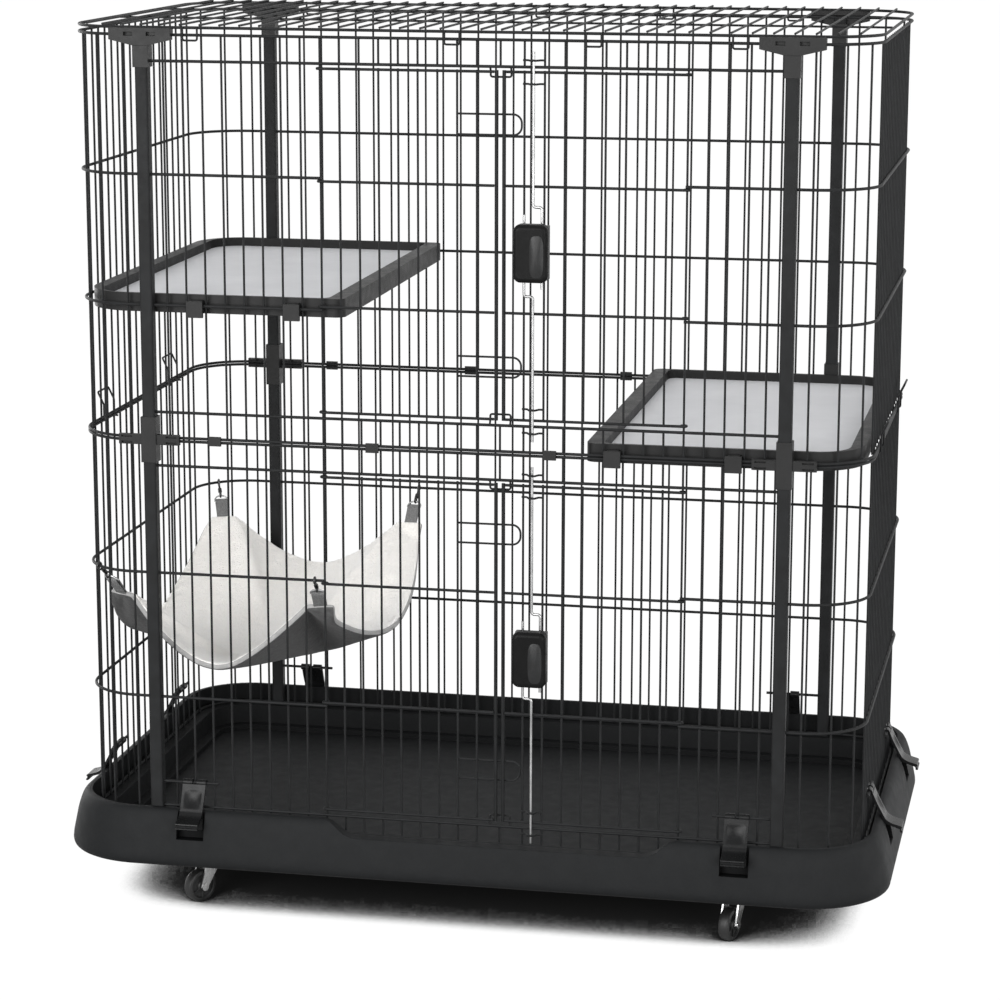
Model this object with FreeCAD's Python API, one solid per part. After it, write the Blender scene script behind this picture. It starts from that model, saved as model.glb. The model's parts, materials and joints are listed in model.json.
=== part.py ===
import FreeCAD, Part
import math
import os

# A two-tier wire cat playpen: a plastic tray on casters, four posts, wire panels, two pairs
# of doors with turn latches, two shelves and a hammock.
# Millimetres, +Z up, front towards -Y, origin on the floor under the middle of the tray.

V = FreeCAD.Vector
UP = V(0, 0, 1)
ALONG_X = V(1, 0, 0)
ALONG_Y = V(0, 1, 0)

# Cage plan, to the centre lines of the ring wires
cage_half_width = 433.0
cage_half_depth = 249.0
corner_radius = 65.0
post_corner_space = 23.0
post_size = 14.0
post_wall = 1.2

# Wires
ring_radius = 1.6
upright_radius = 1.2
small_wire_radius = 1.1
wire_pitch = 21.4
corner_spaces = 3

# Tray, from the floor up
skirt_bottom = 62.0
tray_height = 62.0
ledge_drop = 22.0
pan_drop = 50.0
tray_wall = 3.0
rim_width = 6.5
rim_flat = 3.5
rim_clearance = 0.5
ledge_width = 22.0
pan_draft = 2.0
pan_step_rise = 6.0
pan_step_width = 12.0
skirt_flare = 16.0
skirt_bow = 0.45
wall_sections = 6
skirt_tuck = 5.0
bulge_rise = 7.0
dip_depth = 18.0
dip_half_width = 155.0
dip_slope = 48.0

# Tiers and their rings, measured up from the lowest ring of a tier
tier_height = 433.0
tier_gap = 0.4
lower_ring_rise = 145.0
upper_ring_rise = 285.5
header_drop = 27.5
lower_sill_rise = 20.5
upper_sill_rise = 28.0

# Doors
left_hinge_x = -152.0
right_hinge_x = 238.0
meeting_x = 41.5
door_gap = 8.0
leaf_rail_radius = 1.5
edge_bar_radius = 2.0
hinge_clearance = 0.08
seat_clearance = 0.3
leaf_top_gap = 5.3
leaf_bottom_gap = 6.5
loop_inset = 55.0
loop_height = 21.5
loop_reach = 26.0
loop_lead = 0.6
loop_bend = 9.0
stop_half_width = 11.0
stop_drop = 11.0

# Latches and their rods
rod_radius = 1.5
rod_clearance = 0.4
rod_overreach = 16.0
rod_offset = 9.5
rod_bend = 3.0
latch_rise = 214.0
jog_rise = 47.0
rod_tail = 39.0
keeper_offset = 7.0
guide_offset = 12.0
case_half_width = 17.0
case_half_height = 28.0
case_wall = 4.0
bore_clearance = 0.06
pinion_teeth = 14
pinion_pitch_radius = 8.75
tooth_addendum = 1.0
tooth_dedendum = 1.3
tooth_tip_width = 0.8
tooth_root_width = 2.5
pinion_thickness = 2.2
rack_thickness = 2.7
rack_overrun = 4
pivot_radius = 2.5
knob_half_width = 18.5
knob_half_height = 30.5
knob_depth = 14.0
knob_corner = 8.0
knob_edge = 5.0

# Tray clips
clip_wire_rise = 27.5
clip_wire_half_length = 27.0
clip_half_width = 13.0
clip_thickness = 3.0
clip_drop = 22.5
clip_hook_wall = 2.2
clip_slot_half_width = 2.4
clip_tab_reach = 38.0
clip_tab_fall = 6.0
clip_tab_drop = 4.0
pocket_margin = 2.5
pocket_drop = 9.0
pocket_clearance = 0.4
clip_post_space = 43.0
side_clip_reach = 119.0

# Connectors between posts and rings
sleeve_wall = 1.4
sleeve_half_height = 25.0
arm_length = 27.0
arm_half_height = 5.5
arm_outer_reach = 5.0
arm_slot_length = 12.0
arm_slot_height = 1.8
arm_slot_depth = 3.0
arm_slot_inset = 3.0
arm_slot_rise = 3.2
fit_clearance = 0.1
wing_half_width = 34.0
wing_outer_reach = 7.8
wing_drop = 11.0
wing_top_rise = 7.2
wing_shoulder = 6.0
wing_sleeve_drop = 34.0
wing_slot_length = 10.0
wing_slot_height = 4.0
wing_slot_depth = 4.5
wing_slot_place = 12.5
groove_lip = 1.0

# Clips and hooks that hold the two tiers together
ring_clip_insets = (73.0, 248.0, 441.0)
ring_clip_half_width = 7.0
tier_hook_half_width = 18.0
tier_hook_rise = 28.0
tier_hook_reach = 9.5

# Roof
roof_lift = 4.5
roof_bars = 2
roof_hook_post_space = 53.5
roof_hook_middle_places = (-9.0, 140.0)
roof_hook_half_width = 8.0
roof_hook_drop = 5.5

# Shelves
shelf_clearance = 0.5
left_shelf_inner_x = -130.0
right_shelf_inner_x = 133.0
shelf_top_rise = 11.0
shelf_height = 20.0
shelf_wall = 5.0
shelf_inner_bar = 18.0
shelf_outer_bar = 14.5
shelf_recess_corner = 34.0
shelf_ledge = 10.0
shelf_ledge_rise = 6.0
shelf_panel_thickness = 4.0
shelf_inner_corner = 10.0
shelf_clip_half_width = 6.0
shelf_clip_lip_half_width = 9.0
shelf_clip_thickness = 4.0
shelf_clip_lip = 12.0
shelf_clip_post_space = 54.0
left_shelf_clip_edge_space = 54.0
right_shelf_clip_edge_space = 30.0

# Hammock
hammock_right_x = -162.0
left_chain_lean = 25.0
right_chain_lean = 5.0
hook_wire_radius = 1.0
hook_gap = 0.2
hook_reach = 14.0
chain_slope = 43.0
strap_length = 32.0
strap_half_width = 6.5
strap_thickness = 3.0
strap_gap = 0.2
cloth_thickness = 6.0
cloth_corner_half = 16.0
cloth_edge_scallop = 12.0
cloth_front_sag = 68.0
cloth_left_sag = 46.0
cloth_right_sag = 66.0
cloth_centre_sag = 92.0
cloth_right_bulge = 8.0
cloth_sections = 5

# Casters
caster_end_inset = 135.0
caster_side_inset = 54.0
caster_trail = 20.0
wheel_diameter = 37.0
wheel_width = 14.0
wheel_edge = 3.0
axle_radius = 2.5
axle_clearance = 0.05
axle_head_radius = 4.0
axle_head = 1.5
fork_plate = 2.0
fork_side_gap = 1.0
fork_plate_radius = 13.0
fork_arm_foot = 5.0
stem_radius = 4.0
stem_head_radius = 6.5
stem_head = 3.0
stem_clearance = 0.05
swivel_gap = 0.4
boss_radius = 14.0
boss_drop = 15.0

# Derived levels
rim_z = skirt_bottom + tray_height
ledge_z = rim_z - ledge_drop
pan_z = rim_z - pan_drop
post_half = post_size / 2
rim_inner = post_half + rim_clearance
rim_outer = rim_inner + rim_width
lower_bottom = ledge_z + ring_radius
lower_top = lower_bottom + tier_height
upper_bottom = lower_top + 2 * ring_radius + tier_gap
upper_top = upper_bottom + tier_height
joint_z = (lower_top + upper_bottom) / 2
roof_z = upper_top + 2 * ring_radius + roof_lift
clip_wire_z = rim_z + clip_wire_rise
clip_bottom_z = rim_z - clip_drop

# Derived plan places
bend_x = cage_half_width - corner_radius
bend_y = cage_half_depth - corner_radius
post_half_spacing = bend_x - post_corner_space
post_inner_face = post_half_spacing - post_half
post_outer_face = post_half_spacing + post_half
upright_inset = ring_radius + upright_radius
shelf_inset = post_half + sleeve_wall + shelf_clearance
caster_x = cage_half_width - caster_end_inset
caster_y = cage_half_depth - caster_side_inset
front_y = -cage_half_depth
front_upright_y = front_y + upright_inset
left_edge_x = meeting_x - door_gap / 2
right_edge_x = meeting_x + door_gap / 2
eye_radius = upright_radius + hinge_clearance + leaf_rail_radius
leaf_rail_y = front_upright_y - eye_radius
leaf_upright_y = leaf_rail_y + leaf_rail_radius + upright_radius
leaf_back_y = leaf_upright_y + upright_radius
rod_y = front_y - ring_radius - rod_clearance - rod_radius


def wire(start, end, radius):
    """A straight round wire."""
    return Part.makeCylinder(radius, (end - start).Length, start, end - start)


def bent_wire(corners, radius, bend):
    """A round wire along straight runs that are joined by arcs of one bend radius."""
    edges = []
    run_start = corners[0]
    for before, corner, after in zip(corners, corners[1:], corners[2:]):
        back = (before - corner).normalize()
        ahead = (after - corner).normalize()
        half_turn = (math.pi - back.getAngle(ahead)) / 2
        setback = bend * math.tan(half_turn)
        inside = (back + ahead).normalize()
        arc_start = corner + back * setback
        arc_middle = corner + inside * (bend / math.cos(half_turn) - bend)
        arc_end = corner + ahead * setback
        edges.append(Part.LineSegment(run_start, arc_start).toShape())
        edges.append(Part.Arc(arc_start, arc_middle, arc_end).toShape())
        run_start = arc_end
    edges.append(Part.LineSegment(run_start, corners[-1]).toShape())
    section = Part.Wire(Part.makeCircle(radius, corners[0], corners[1] - corners[0]))
    return Part.Wire(edges).makePipeShell([section], True, False)


def level_arc(centre, bend, start, sweep, radius):
    """A round wire bent level about a centre, from a start angle over a sweep in degrees."""
    section = Part.Face(Part.Wire(Part.makeCircle(radius, V(bend, 0, 0), ALONG_Y)))
    arc = section.revolve(V(), UP, sweep)
    arc.rotate(V(), UP, start)
    arc.translate(centre)
    return arc


def block(low, high):
    """A box between two corners."""
    return Part.makeBox(high.x - low.x, high.y - low.y, high.z - low.z, low)


def plan(half_x, half_y, radius, z):
    """A level rectangle with round corners, as a wire."""
    straight_x = half_x - radius
    straight_y = half_y - radius
    short = radius * math.sqrt(0.5)
    edges = []
    for sx, sy in ((1, 1), (-1, 1), (-1, -1), (1, -1)):
        on_side = V(sx * half_x, sy * straight_y, z)
        on_end = V(sx * straight_x, sy * half_y, z)
        middle = V(sx * (straight_x + short), sy * (straight_y + short), z)
        first, last = (on_side, on_end) if sx == sy else (on_end, on_side)
        if edges:
            edges.append(Part.LineSegment(edges[-1].Vertexes[-1].Point, first).toShape())
        edges.append(Part.Arc(first, middle, last).toShape())
    start = edges[0].Vertexes[0].Point
    edges.append(Part.LineSegment(edges[-1].Vertexes[-1].Point, start).toShape())
    return Part.Wire(edges)


def tapered(lower, upper):
    """A solid between two level outlines."""
    return Part.makeLoft([lower, upper], True, True)


def prism(points, reach):
    """A solid pulled along a vector from a flat outline."""
    return Part.Face(Part.makePolygon(points + points[:1])).extrude(reach)


def joined(shapes):
    """One solid from touching or overlapping solids."""
    return shapes[0].multiFuse(shapes[1:]).removeSplitter()


def spread(first, last):
    """Wire places from first to last, evenly spaced at about the wire pitch."""
    spaces = max(1, round(abs(last - first) / wire_pitch))
    return [first + (last - first) * k / spaces for k in range(spaces + 1)]


def nearest_gap(places, wanted):
    """The middle of the gap between neighbouring wires that lies nearest a place."""
    ordered = sorted(places)
    middles = [(a + b) / 2 for a, b in zip(ordered, ordered[1:])]
    return nearest(middles, wanted)


def nearest(places, wanted):
    """The wire place nearest a wanted one."""
    return min(places, key=lambda place: abs(place - wanted))


wall_turns = {"front": 0, "right": 90, "back": 180, "left": -90}


def on_wall(shape, wall, along):
    """Moves a shape made for the front wall, at the ring plane, to a place on any wall."""
    distance = cage_half_depth if wall in ("front", "back") else cage_half_width
    moved = shape.copy()
    moved.translate(V(0, -distance, 0))
    moved.rotate(V(), UP, wall_turns[wall])
    moved.translate(V(along, 0, 0) if wall in ("front", "back") else V(0, along, 0))
    return moved


class Tier:
    """Heights of one tier of the cage."""

    def __init__(self, bottom, sill_rise):
        self.bottom = bottom
        self.top = bottom + tier_height
        self.low_ring = bottom + lower_ring_rise
        self.high_ring = bottom + upper_ring_rise
        self.rings = (self.bottom, self.low_ring, self.high_ring, self.top)
        self.header = self.top - header_drop
        self.sill = bottom + sill_rise
        self.leaf_top = self.header - leaf_top_gap
        self.leaf_bottom = self.sill + leaf_bottom_gap
        rail_seat = ring_radius + leaf_rail_radius + seat_clearance
        middle_rails = (self.low_ring + rail_seat, self.high_ring - rail_seat)
        self.leaf_rails = (self.leaf_bottom, *middle_rails, self.leaf_top)
        self.latch_z = bottom + latch_rise


lower_tier = Tier(lower_bottom, lower_sill_rise)
upper_tier = Tier(upper_bottom, upper_sill_rise)

# Upright wires of the front and back panels and of the door leaves
front_left_places = spread(-post_half_spacing, left_hinge_x)[1:]
front_right_places = spread(right_hinge_x, post_half_spacing)[:-1]
left_leaf_places = spread(left_hinge_x, left_edge_x)[1:-1]
right_leaf_places = spread(right_edge_x, right_hinge_x)[1:-1]
back_places = spread(-post_half_spacing, post_half_spacing)[1:-1]
stub_places = left_leaf_places + [meeting_x] + right_leaf_places
front_places = front_left_places + stub_places + front_right_places
latch_x = (right_leaf_places[0] + right_leaf_places[1]) / 2


# Wire panels

def side_ring(z, radius):
    """One ring round the left side, from the front post to the back post, in five pieces."""
    pieces = [wire(V(-cage_half_width, -bend_y, z), V(-cage_half_width, bend_y, z), radius)]
    for y in (-cage_half_depth, cage_half_depth):
        pieces.append(wire(V(-bend_x, y, z), V(-post_outer_face, y, z), radius))
    pieces.append(level_arc(V(-bend_x, -bend_y, z), corner_radius, 180, 90, radius))
    pieces.append(level_arc(V(-bend_x, bend_y, z), corner_radius, 90, 90, radius))
    return pieces


def side_upright_places():
    """Plan places of the upright wires round the left side."""
    inside = -cage_half_width + upright_inset
    places = [(inside, y) for y in spread(-bend_y, bend_y)]
    reach = corner_radius - upright_inset
    for end in (-1, 1):
        for k in range(1, corner_spaces + 1):
            angle = math.pi / 2 * k / corner_spaces
            places.append((-bend_x - reach * math.cos(angle), end * (bend_y + reach * math.sin(angle))))
    return places


side_spaces = spread(-bend_y, bend_y)
side_clip_y = nearest(side_spaces, side_clip_reach)


def left_panel(tier):
    """Rings and uprights of the left side of a tier, which wrap round both corners."""
    pieces = []
    for z in tier.rings:
        pieces += side_ring(z, ring_radius)
    for x, y in side_upright_places():
        pieces.append(wire(V(x, y, tier.bottom), V(x, y, tier.top), upright_radius))
    if tier is lower_tier:
        for along in (-side_clip_y, side_clip_y):
            low = V(-cage_half_width, along - clip_wire_half_length, clip_wire_z)
            high = V(-cage_half_width, along + clip_wire_half_length, clip_wire_z)
            pieces.append(wire(low, high, ring_radius))
    return pieces


def clip_wires(y, near_places):
    """The short level wires beside the posts that two tray clips hang on."""
    pieces = []
    for side, place in zip((-1, 1), near_places):
        start = V(side * post_inner_face, y, clip_wire_z)
        pieces.append(wire(start, V(place - side * clip_wire_half_length, y, clip_wire_z), ring_radius))
    return pieces


def back_panel(tier):
    """Rings and uprights of the back of a tier, between its posts."""
    pieces = []
    for z in tier.rings:
        start = V(-post_inner_face, cage_half_depth, z)
        pieces.append(wire(start, V(post_inner_face, cage_half_depth, z), ring_radius))
    upright_y = cage_half_depth - upright_inset
    for x in back_places:
        pieces.append(wire(V(x, upright_y, tier.bottom), V(x, upright_y, tier.top), upright_radius))
    if tier is lower_tier:
        pieces += clip_wires(cage_half_depth, back_clip_places)
    return pieces


def rod_loop(z, upright_y):
    """A small wire from upright to upright that bulges out round a latch rod."""
    left, right = right_leaf_places[0], right_leaf_places[1]
    on_upright = upright_y - upright_radius - small_wire_radius
    bulge = rod_y - rod_radius - seat_clearance - small_wire_radius
    half_flat = 2 * rod_radius
    half_foot = half_flat + (on_upright - bulge) / 2
    corners = [
        V(left - upright_radius, on_upright, z),
        V(latch_x - half_foot, on_upright, z),
        V(latch_x - half_flat, bulge, z),
        V(latch_x + half_flat, bulge, z),
        V(latch_x + half_foot, on_upright, z),
        V(right + upright_radius, on_upright, z),
    ]
    return bent_wire(corners, small_wire_radius, rod_radius)


def door_stop(rail_z, drop):
    """A small wire loop behind the meeting edges that keeps the leaves from swinging in."""
    on_rail = front_y + ring_radius + small_wire_radius
    behind = leaf_back_y + rod_clearance + small_wire_radius
    half_drop = drop / 2
    corners = []
    for side in (-1, 1):
        x = meeting_x + side * stop_half_width
        leg = [V(x, on_rail, rail_z), V(x, behind, rail_z + half_drop), V(x, behind, rail_z + drop)]
        corners += leg if side < 0 else leg[::-1]
    return bent_wire(corners, small_wire_radius, 2 * small_wire_radius)


def front_panel(tier):
    """Rails, part rings, uprights, rod keepers and door stops round a door opening."""
    pieces = []
    for z in (tier.bottom, tier.sill, tier.header, tier.top):
        pieces.append(wire(V(-post_inner_face, front_y, z), V(post_inner_face, front_y, z), ring_radius))
    for z in (tier.low_ring, tier.high_ring):
        left_end = V(left_hinge_x + upright_radius, front_y, z)
        right_end = V(right_hinge_x - upright_radius, front_y, z)
        pieces.append(wire(V(-post_inner_face, front_y, z), left_end, ring_radius))
        pieces.append(wire(right_end, V(post_inner_face, front_y, z), ring_radius))
    for x in front_left_places + front_right_places:
        foot = V(x, front_upright_y, tier.bottom)
        pieces.append(wire(foot, V(x, front_upright_y, tier.top), upright_radius))
    for x in stub_places:
        for low, high in ((tier.bottom, tier.sill), (tier.header, tier.top)):
            pieces.append(wire(V(x, front_upright_y, low), V(x, front_upright_y, high), upright_radius))
    pieces.append(rod_loop(tier.header + keeper_offset, front_upright_y))
    pieces.append(rod_loop(tier.sill - keeper_offset, front_upright_y))
    pieces.append(door_stop(tier.header, -stop_drop))
    pieces.append(door_stop(tier.sill, stop_drop))
    if tier is lower_tier:
        pieces += clip_wires(front_y, front_clip_places)
    return pieces


def roof_panel():
    """A wire grid on a round-cornered ring, with loops that hook under the front and back rails."""
    pieces = []
    for y in (-cage_half_depth, cage_half_depth):
        pieces.append(wire(V(-bend_x, y, roof_z), V(bend_x, y, roof_z), ring_radius))
    for x in (-cage_half_width, cage_half_width):
        pieces.append(wire(V(x, -bend_y, roof_z), V(x, bend_y, roof_z), ring_radius))
    for sx, sy, start in ((1, 1, 0), (-1, 1, 90), (-1, -1, 180), (1, -1, 270)):
        pieces.append(level_arc(V(sx * bend_x, sy * bend_y, roof_z), corner_radius, start, 90, ring_radius))
    grid_z = roof_z + ring_radius + upright_radius
    for x in spread(-cage_half_width, cage_half_width)[1:-1]:
        past_bend = max(0, abs(x) - bend_x)
        reach = bend_y + math.sqrt(corner_radius ** 2 - past_bend ** 2)
        pieces.append(wire(V(x, -reach, grid_z), V(x, reach, grid_z), upright_radius))
    outer_bar = roof_z + ring_radius - upright_radius
    for k in range(1, roof_bars + 1):
        y = -cage_half_depth + 2 * cage_half_depth * k / (roof_bars + 1)
        reach = cage_half_width - ring_radius
        pieces.append(wire(V(-reach, y, outer_bar), V(reach, y, outer_bar), upright_radius))
    end_hook = post_half_spacing - roof_hook_post_space
    for x in (-end_hook, *roof_hook_middle_places, end_hook):
        for side in (-1, 1):
            pieces.append(roof_hook(x, side))
    return pieces


def roof_hook(x, side):
    """A small wire loop from the roof ring down in front of the rail below and under it."""
    outer = side * (cage_half_depth + ring_radius + small_wire_radius)
    low = upper_top - roof_hook_drop
    corners = [
        V(x - roof_hook_half_width, outer, roof_z + ring_radius),
        V(x - roof_hook_half_width, outer, low),
        V(x + roof_hook_half_width, outer, low),
        V(x + roof_hook_half_width, outer, roof_z + ring_radius),
    ]
    return bent_wire(corners, small_wire_radius, 2 * small_wire_radius)


# Posts and the plastic pieces that join them to the rings

def post(x, y, low, high):
    """A square tube with rounded corners."""
    inner_half = post_half - post_wall
    outer = Part.Face(plan(post_half, post_half, 2 * post_wall, low))
    inner = Part.Face(plan(inner_half, inner_half, post_wall, low))
    tube = outer.cut(inner).extrude(UP * (high - low))
    tube.translate(V(x, y, 0))
    return tube


post_places = [(sx * post_half_spacing, sy * cage_half_depth) for sx in (-1, 1) for sy in (-1, 1)]


def post_room(low, high):
    """The space that a post takes in a sleeve, about the origin."""
    half = post_half + fit_clearance
    return block(V(-half, -half, low), V(half, half, high))


def ring_room(levels):
    """The space that rings and rails take beside the front left post, about the cage's middle."""
    room = []
    for z in levels:
        room += side_ring(z, ring_radius + fit_clearance)
        room.append(wire(V(-post_outer_face, front_y, z), V(0, front_y, z), ring_radius + fit_clearance))
    return room


def beside_posts(shape):
    """A piece made at the front left post, and its turned or mirrored copies at the other posts."""
    copies = []
    for flip_x in (False, True):
        for flip_y in (False, True):
            copy = shape.copy()
            if flip_x:
                copy = copy.mirror(V(), ALONG_X)
            if flip_y:
                copy = copy.mirror(V(), ALONG_Y)
            copies.append(copy)
    return copies


def mid_connector():
    """A cross of a sleeve over the joint of two posts and arms over the two middle rings."""
    half = post_half + sleeve_wall
    sleeve_low = joint_z - sleeve_half_height
    sleeve_high = joint_z + sleeve_half_height
    sleeve = block(V(-half, -half, sleeve_low), V(half, half, sleeve_high))
    reach = post_half + arm_length
    outer = -ring_radius - arm_outer_reach
    arms_low = V(-reach, outer, joint_z - arm_half_height)
    arms = block(arms_low, V(reach, -groove_lip, joint_z + arm_half_height))
    cross = joined([sleeve, arms]).cut(post_room(joint_z - tier_height, joint_z + tier_height))
    slot_far = reach - arm_slot_inset
    for side in (-1, 1):
        ends = sorted((side * slot_far, side * (slot_far - arm_slot_length)))
        for rise in (-arm_slot_rise, arm_slot_rise):
            slot_low = V(ends[0], outer - 1, joint_z + rise - arm_slot_height / 2)
            slot_high = V(ends[1], outer + arm_slot_depth, joint_z + rise + arm_slot_height / 2)
            cross = cross.cut(block(slot_low, slot_high))
    cross.translate(V(-post_half_spacing, front_y, 0))
    return cross.cut(ring_room((lower_top, upper_bottom)))


def top_connector():
    """A winged cap on the top of a post, with two slots in its face and a pad that the roof lies on."""
    half = post_half + sleeve_wall
    low = upper_top - wing_drop
    high = upper_top + wing_top_rise
    face = -ring_radius - wing_outer_reach
    outline = [
        V(-wing_half_width, face, high),
        V(-wing_half_width, face, low + wing_shoulder),
        V(-half, face, low),
        V(half, face, low),
        V(wing_half_width, face, low + wing_shoulder),
        V(wing_half_width, face, high),
    ]
    wing = prism(outline, V(0, -groove_lip - face, 0))
    sleeve = block(V(-half, -half, upper_top - wing_sleeve_drop), V(half, half, low + wing_shoulder / 2))
    pad_low = V(-wing_half_width, face, upper_top + ring_radius)
    pad = block(pad_low, V(wing_half_width, ring_radius, high))
    cap = joined([wing, sleeve, pad]).cut(post_room(joint_z, upper_top))
    slot_z = (low + wing_shoulder + high) / 2
    for side in (-1, 1):
        centre = side * wing_slot_place
        slot_low = V(centre - wing_slot_length / 2, face - 1, slot_z - wing_slot_height / 2)
        slot_high = V(centre + wing_slot_length / 2, face + wing_slot_depth, slot_z + wing_slot_height / 2)
        cap = cap.cut(block(slot_low, slot_high))
    cap.translate(V(-post_half_spacing, front_y, 0))
    return cap.cut(ring_room((upper_top, roof_z, upper_tier.header)))


ring_clip_places = [inset - post_half_spacing for inset in ring_clip_insets]


def ring_clip(x, wall):
    """A small clip pushed over the two middle rings from outside."""
    low = V(-ring_clip_half_width, -ring_radius - arm_outer_reach / 2, lower_top - 2 * ring_radius)
    high = V(ring_clip_half_width, -groove_lip, upper_bottom + 2 * ring_radius)
    clip = block(low, high)
    for z in (lower_top, upper_bottom):
        start = V(-2 * ring_clip_half_width, 0, z)
        clip = clip.cut(wire(start, V(2 * ring_clip_half_width, 0, z), ring_radius + fit_clearance))
    return on_wall(clip, wall, x)


def tier_hook(along, wall):
    """A wire bail on the side that goes under the two middle rings and stands up outside them."""
    outside = -ring_radius - small_wire_radius - fit_clearance
    under = lower_top - ring_radius - small_wire_radius - fit_clearance
    tip = V(0, -tier_hook_reach, joint_z + tier_hook_rise)
    corners = []
    for side in (-1, 1):
        x = V(side * tier_hook_half_width, 0, 0)
        leg = [x + V(0, ring_radius, under), x + V(0, outside, under)]
        leg += [x + V(0, outside, joint_z + tier_hook_rise / 2), x + tip]
        corners += leg if side < 0 else leg[::-1]
    return on_wall(bent_wire(corners, small_wire_radius, 2 * small_wire_radius), wall, along)


# Doors and latches

def leaf_frame(tier, hinge_x, edge_x, places):
    """Rails with hinge eyes, uprights and the thick edge bar of one door leaf."""
    inward = 1 if edge_x > hinge_x else -1
    pieces = []
    for z in tier.leaf_rails:
        edge = V(edge_x - inward * edge_bar_radius, leaf_rail_y, z)
        pieces.append(wire(V(hinge_x, leaf_rail_y, z), edge, leaf_rail_radius))
        eye_start = 0 if inward > 0 else -90
        eye_centre = V(hinge_x, front_upright_y, z)
        pieces.append(level_arc(eye_centre, eye_radius, eye_start, 270, leaf_rail_radius))
    for x in places:
        foot = V(x, leaf_upright_y, tier.leaf_bottom - leaf_rail_radius)
        pieces.append(wire(foot, V(x, leaf_upright_y, tier.leaf_top + leaf_rail_radius), upright_radius))
    bar_y = leaf_back_y - edge_bar_radius
    foot = V(edge_x, bar_y, tier.leaf_bottom - leaf_rail_radius)
    pieces.append(wire(foot, V(edge_x, bar_y, tier.leaf_top + leaf_rail_radius), edge_bar_radius))
    return pieces


def left_leaf(tier):
    """The left leaf, with the two loops that reach behind the right leaf."""
    pieces = leaf_frame(tier, left_hinge_x, left_edge_x, left_leaf_places)
    root_x = left_leaf_places[-2]
    end_x = left_edge_x + loop_reach
    root_y = leaf_back_y + small_wire_radius
    for middle in (tier.leaf_top - loop_inset, tier.leaf_bottom + loop_inset):
        low, high = middle - loop_height / 2, middle + loop_height / 2
        corners = [
            V(root_x - upright_radius, root_y, low),
            V(end_x, root_y + loop_lead, low),
            V(end_x, root_y + loop_lead, high),
            V(root_x - upright_radius, root_y, high),
        ]
        pieces.append(bent_wire(corners, small_wire_radius, loop_bend))
    return pieces


def right_leaf(tier):
    """The right leaf, with the two wire guides that its latch rods slide in."""
    pieces = leaf_frame(tier, right_hinge_x, right_edge_x, right_leaf_places)
    pieces.append(rod_loop(tier.leaf_top - guide_offset, leaf_upright_y))
    pieces.append(rod_loop(tier.leaf_bottom + guide_offset, leaf_upright_y))
    return pieces


case_back_y = leaf_upright_y - upright_radius
case_floor_y = rod_y + rod_radius + seat_clearance
pinion_back_y = rod_y - rod_radius - seat_clearance
pinion_front_y = pinion_back_y - pinion_thickness
case_front_y = pinion_front_y - seat_clearance
knob_back_y = case_front_y - seat_clearance
rack_root = pinion_pitch_radius + tooth_dedendum
rack_outer = rack_root + rack_thickness
tooth_pitch = 2 * math.pi * pinion_pitch_radius / pinion_teeth


def latch_case(tier):
    """An open box on the leaf's uprights that guides both rods and carries the knob's pivot."""
    centre = V(latch_x, 0, tier.latch_z)
    low = V(-case_half_width, case_front_y, -case_half_height)
    case = block(low, V(case_half_width, case_back_y, case_half_height))
    room_x = rack_outer + seat_clearance
    room_z = case_half_height - case_wall
    case = case.cut(block(V(-room_x, case_front_y - 1, -room_z), V(room_x, case_floor_y, room_z)))
    for side in (-1, 1):
        start = V(side * rod_offset, rod_y, -2 * case_half_height)
        end = V(side * rod_offset, rod_y, 2 * case_half_height)
        case = case.cut(wire(start, end, rod_radius + bore_clearance))
    pivot = wire(V(0, case_front_y, 0), V(0, case_back_y + 1, 0), pivot_radius + bore_clearance)
    case = case.cut(pivot)
    case.translate(centre)
    return case


def pinion():
    """The knob's gear, with a gap between teeth towards each rack."""
    root = pinion_pitch_radius - tooth_dedendum
    tip = pinion_pitch_radius + tooth_addendum
    reach = V(0, -pinion_thickness, 0)
    gear = wire(V(0, pinion_back_y, 0), V(0, pinion_front_y, 0), root)
    teeth = []
    for k in range(pinion_teeth):
        outline = [
            V(root / 2, pinion_back_y, -tooth_root_width / 2),
            V(root, pinion_back_y, -tooth_root_width / 2),
            V(tip, pinion_back_y, -tooth_tip_width / 2),
            V(tip, pinion_back_y, tooth_tip_width / 2),
            V(root, pinion_back_y, tooth_root_width / 2),
            V(root / 2, pinion_back_y, tooth_root_width / 2),
        ]
        tooth = prism(outline, reach)
        tooth.rotate(V(), ALONG_Y, 360 * (k + 0.5) / pinion_teeth)
        teeth.append(tooth)
    return joined([gear] + teeth)


def latch_knob(tier):
    """A domed turn knob with its pinion and pivot pin behind it."""
    outline = plan(knob_half_width, knob_half_height, knob_corner, 0)
    dome = Part.Face(outline).extrude(UP * knob_depth)
    front_edges = [edge for edge in dome.Edges if edge.BoundBox.ZMin > knob_depth - knob_edge]
    dome = dome.makeFillet(knob_edge, front_edges)
    dome.rotate(V(), ALONG_X, 90)
    dome.translate(V(0, knob_back_y, 0))
    collar = wire(V(0, pinion_front_y, 0), V(0, knob_back_y, 0), 2 * pivot_radius)
    pin = wire(V(0, case_back_y, 0), V(0, pinion_back_y, 0), pivot_radius)
    knob = joined([dome, collar, pinion(), pin])
    knob.translate(V(latch_x, 0, tier.latch_z))
    return knob


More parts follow.
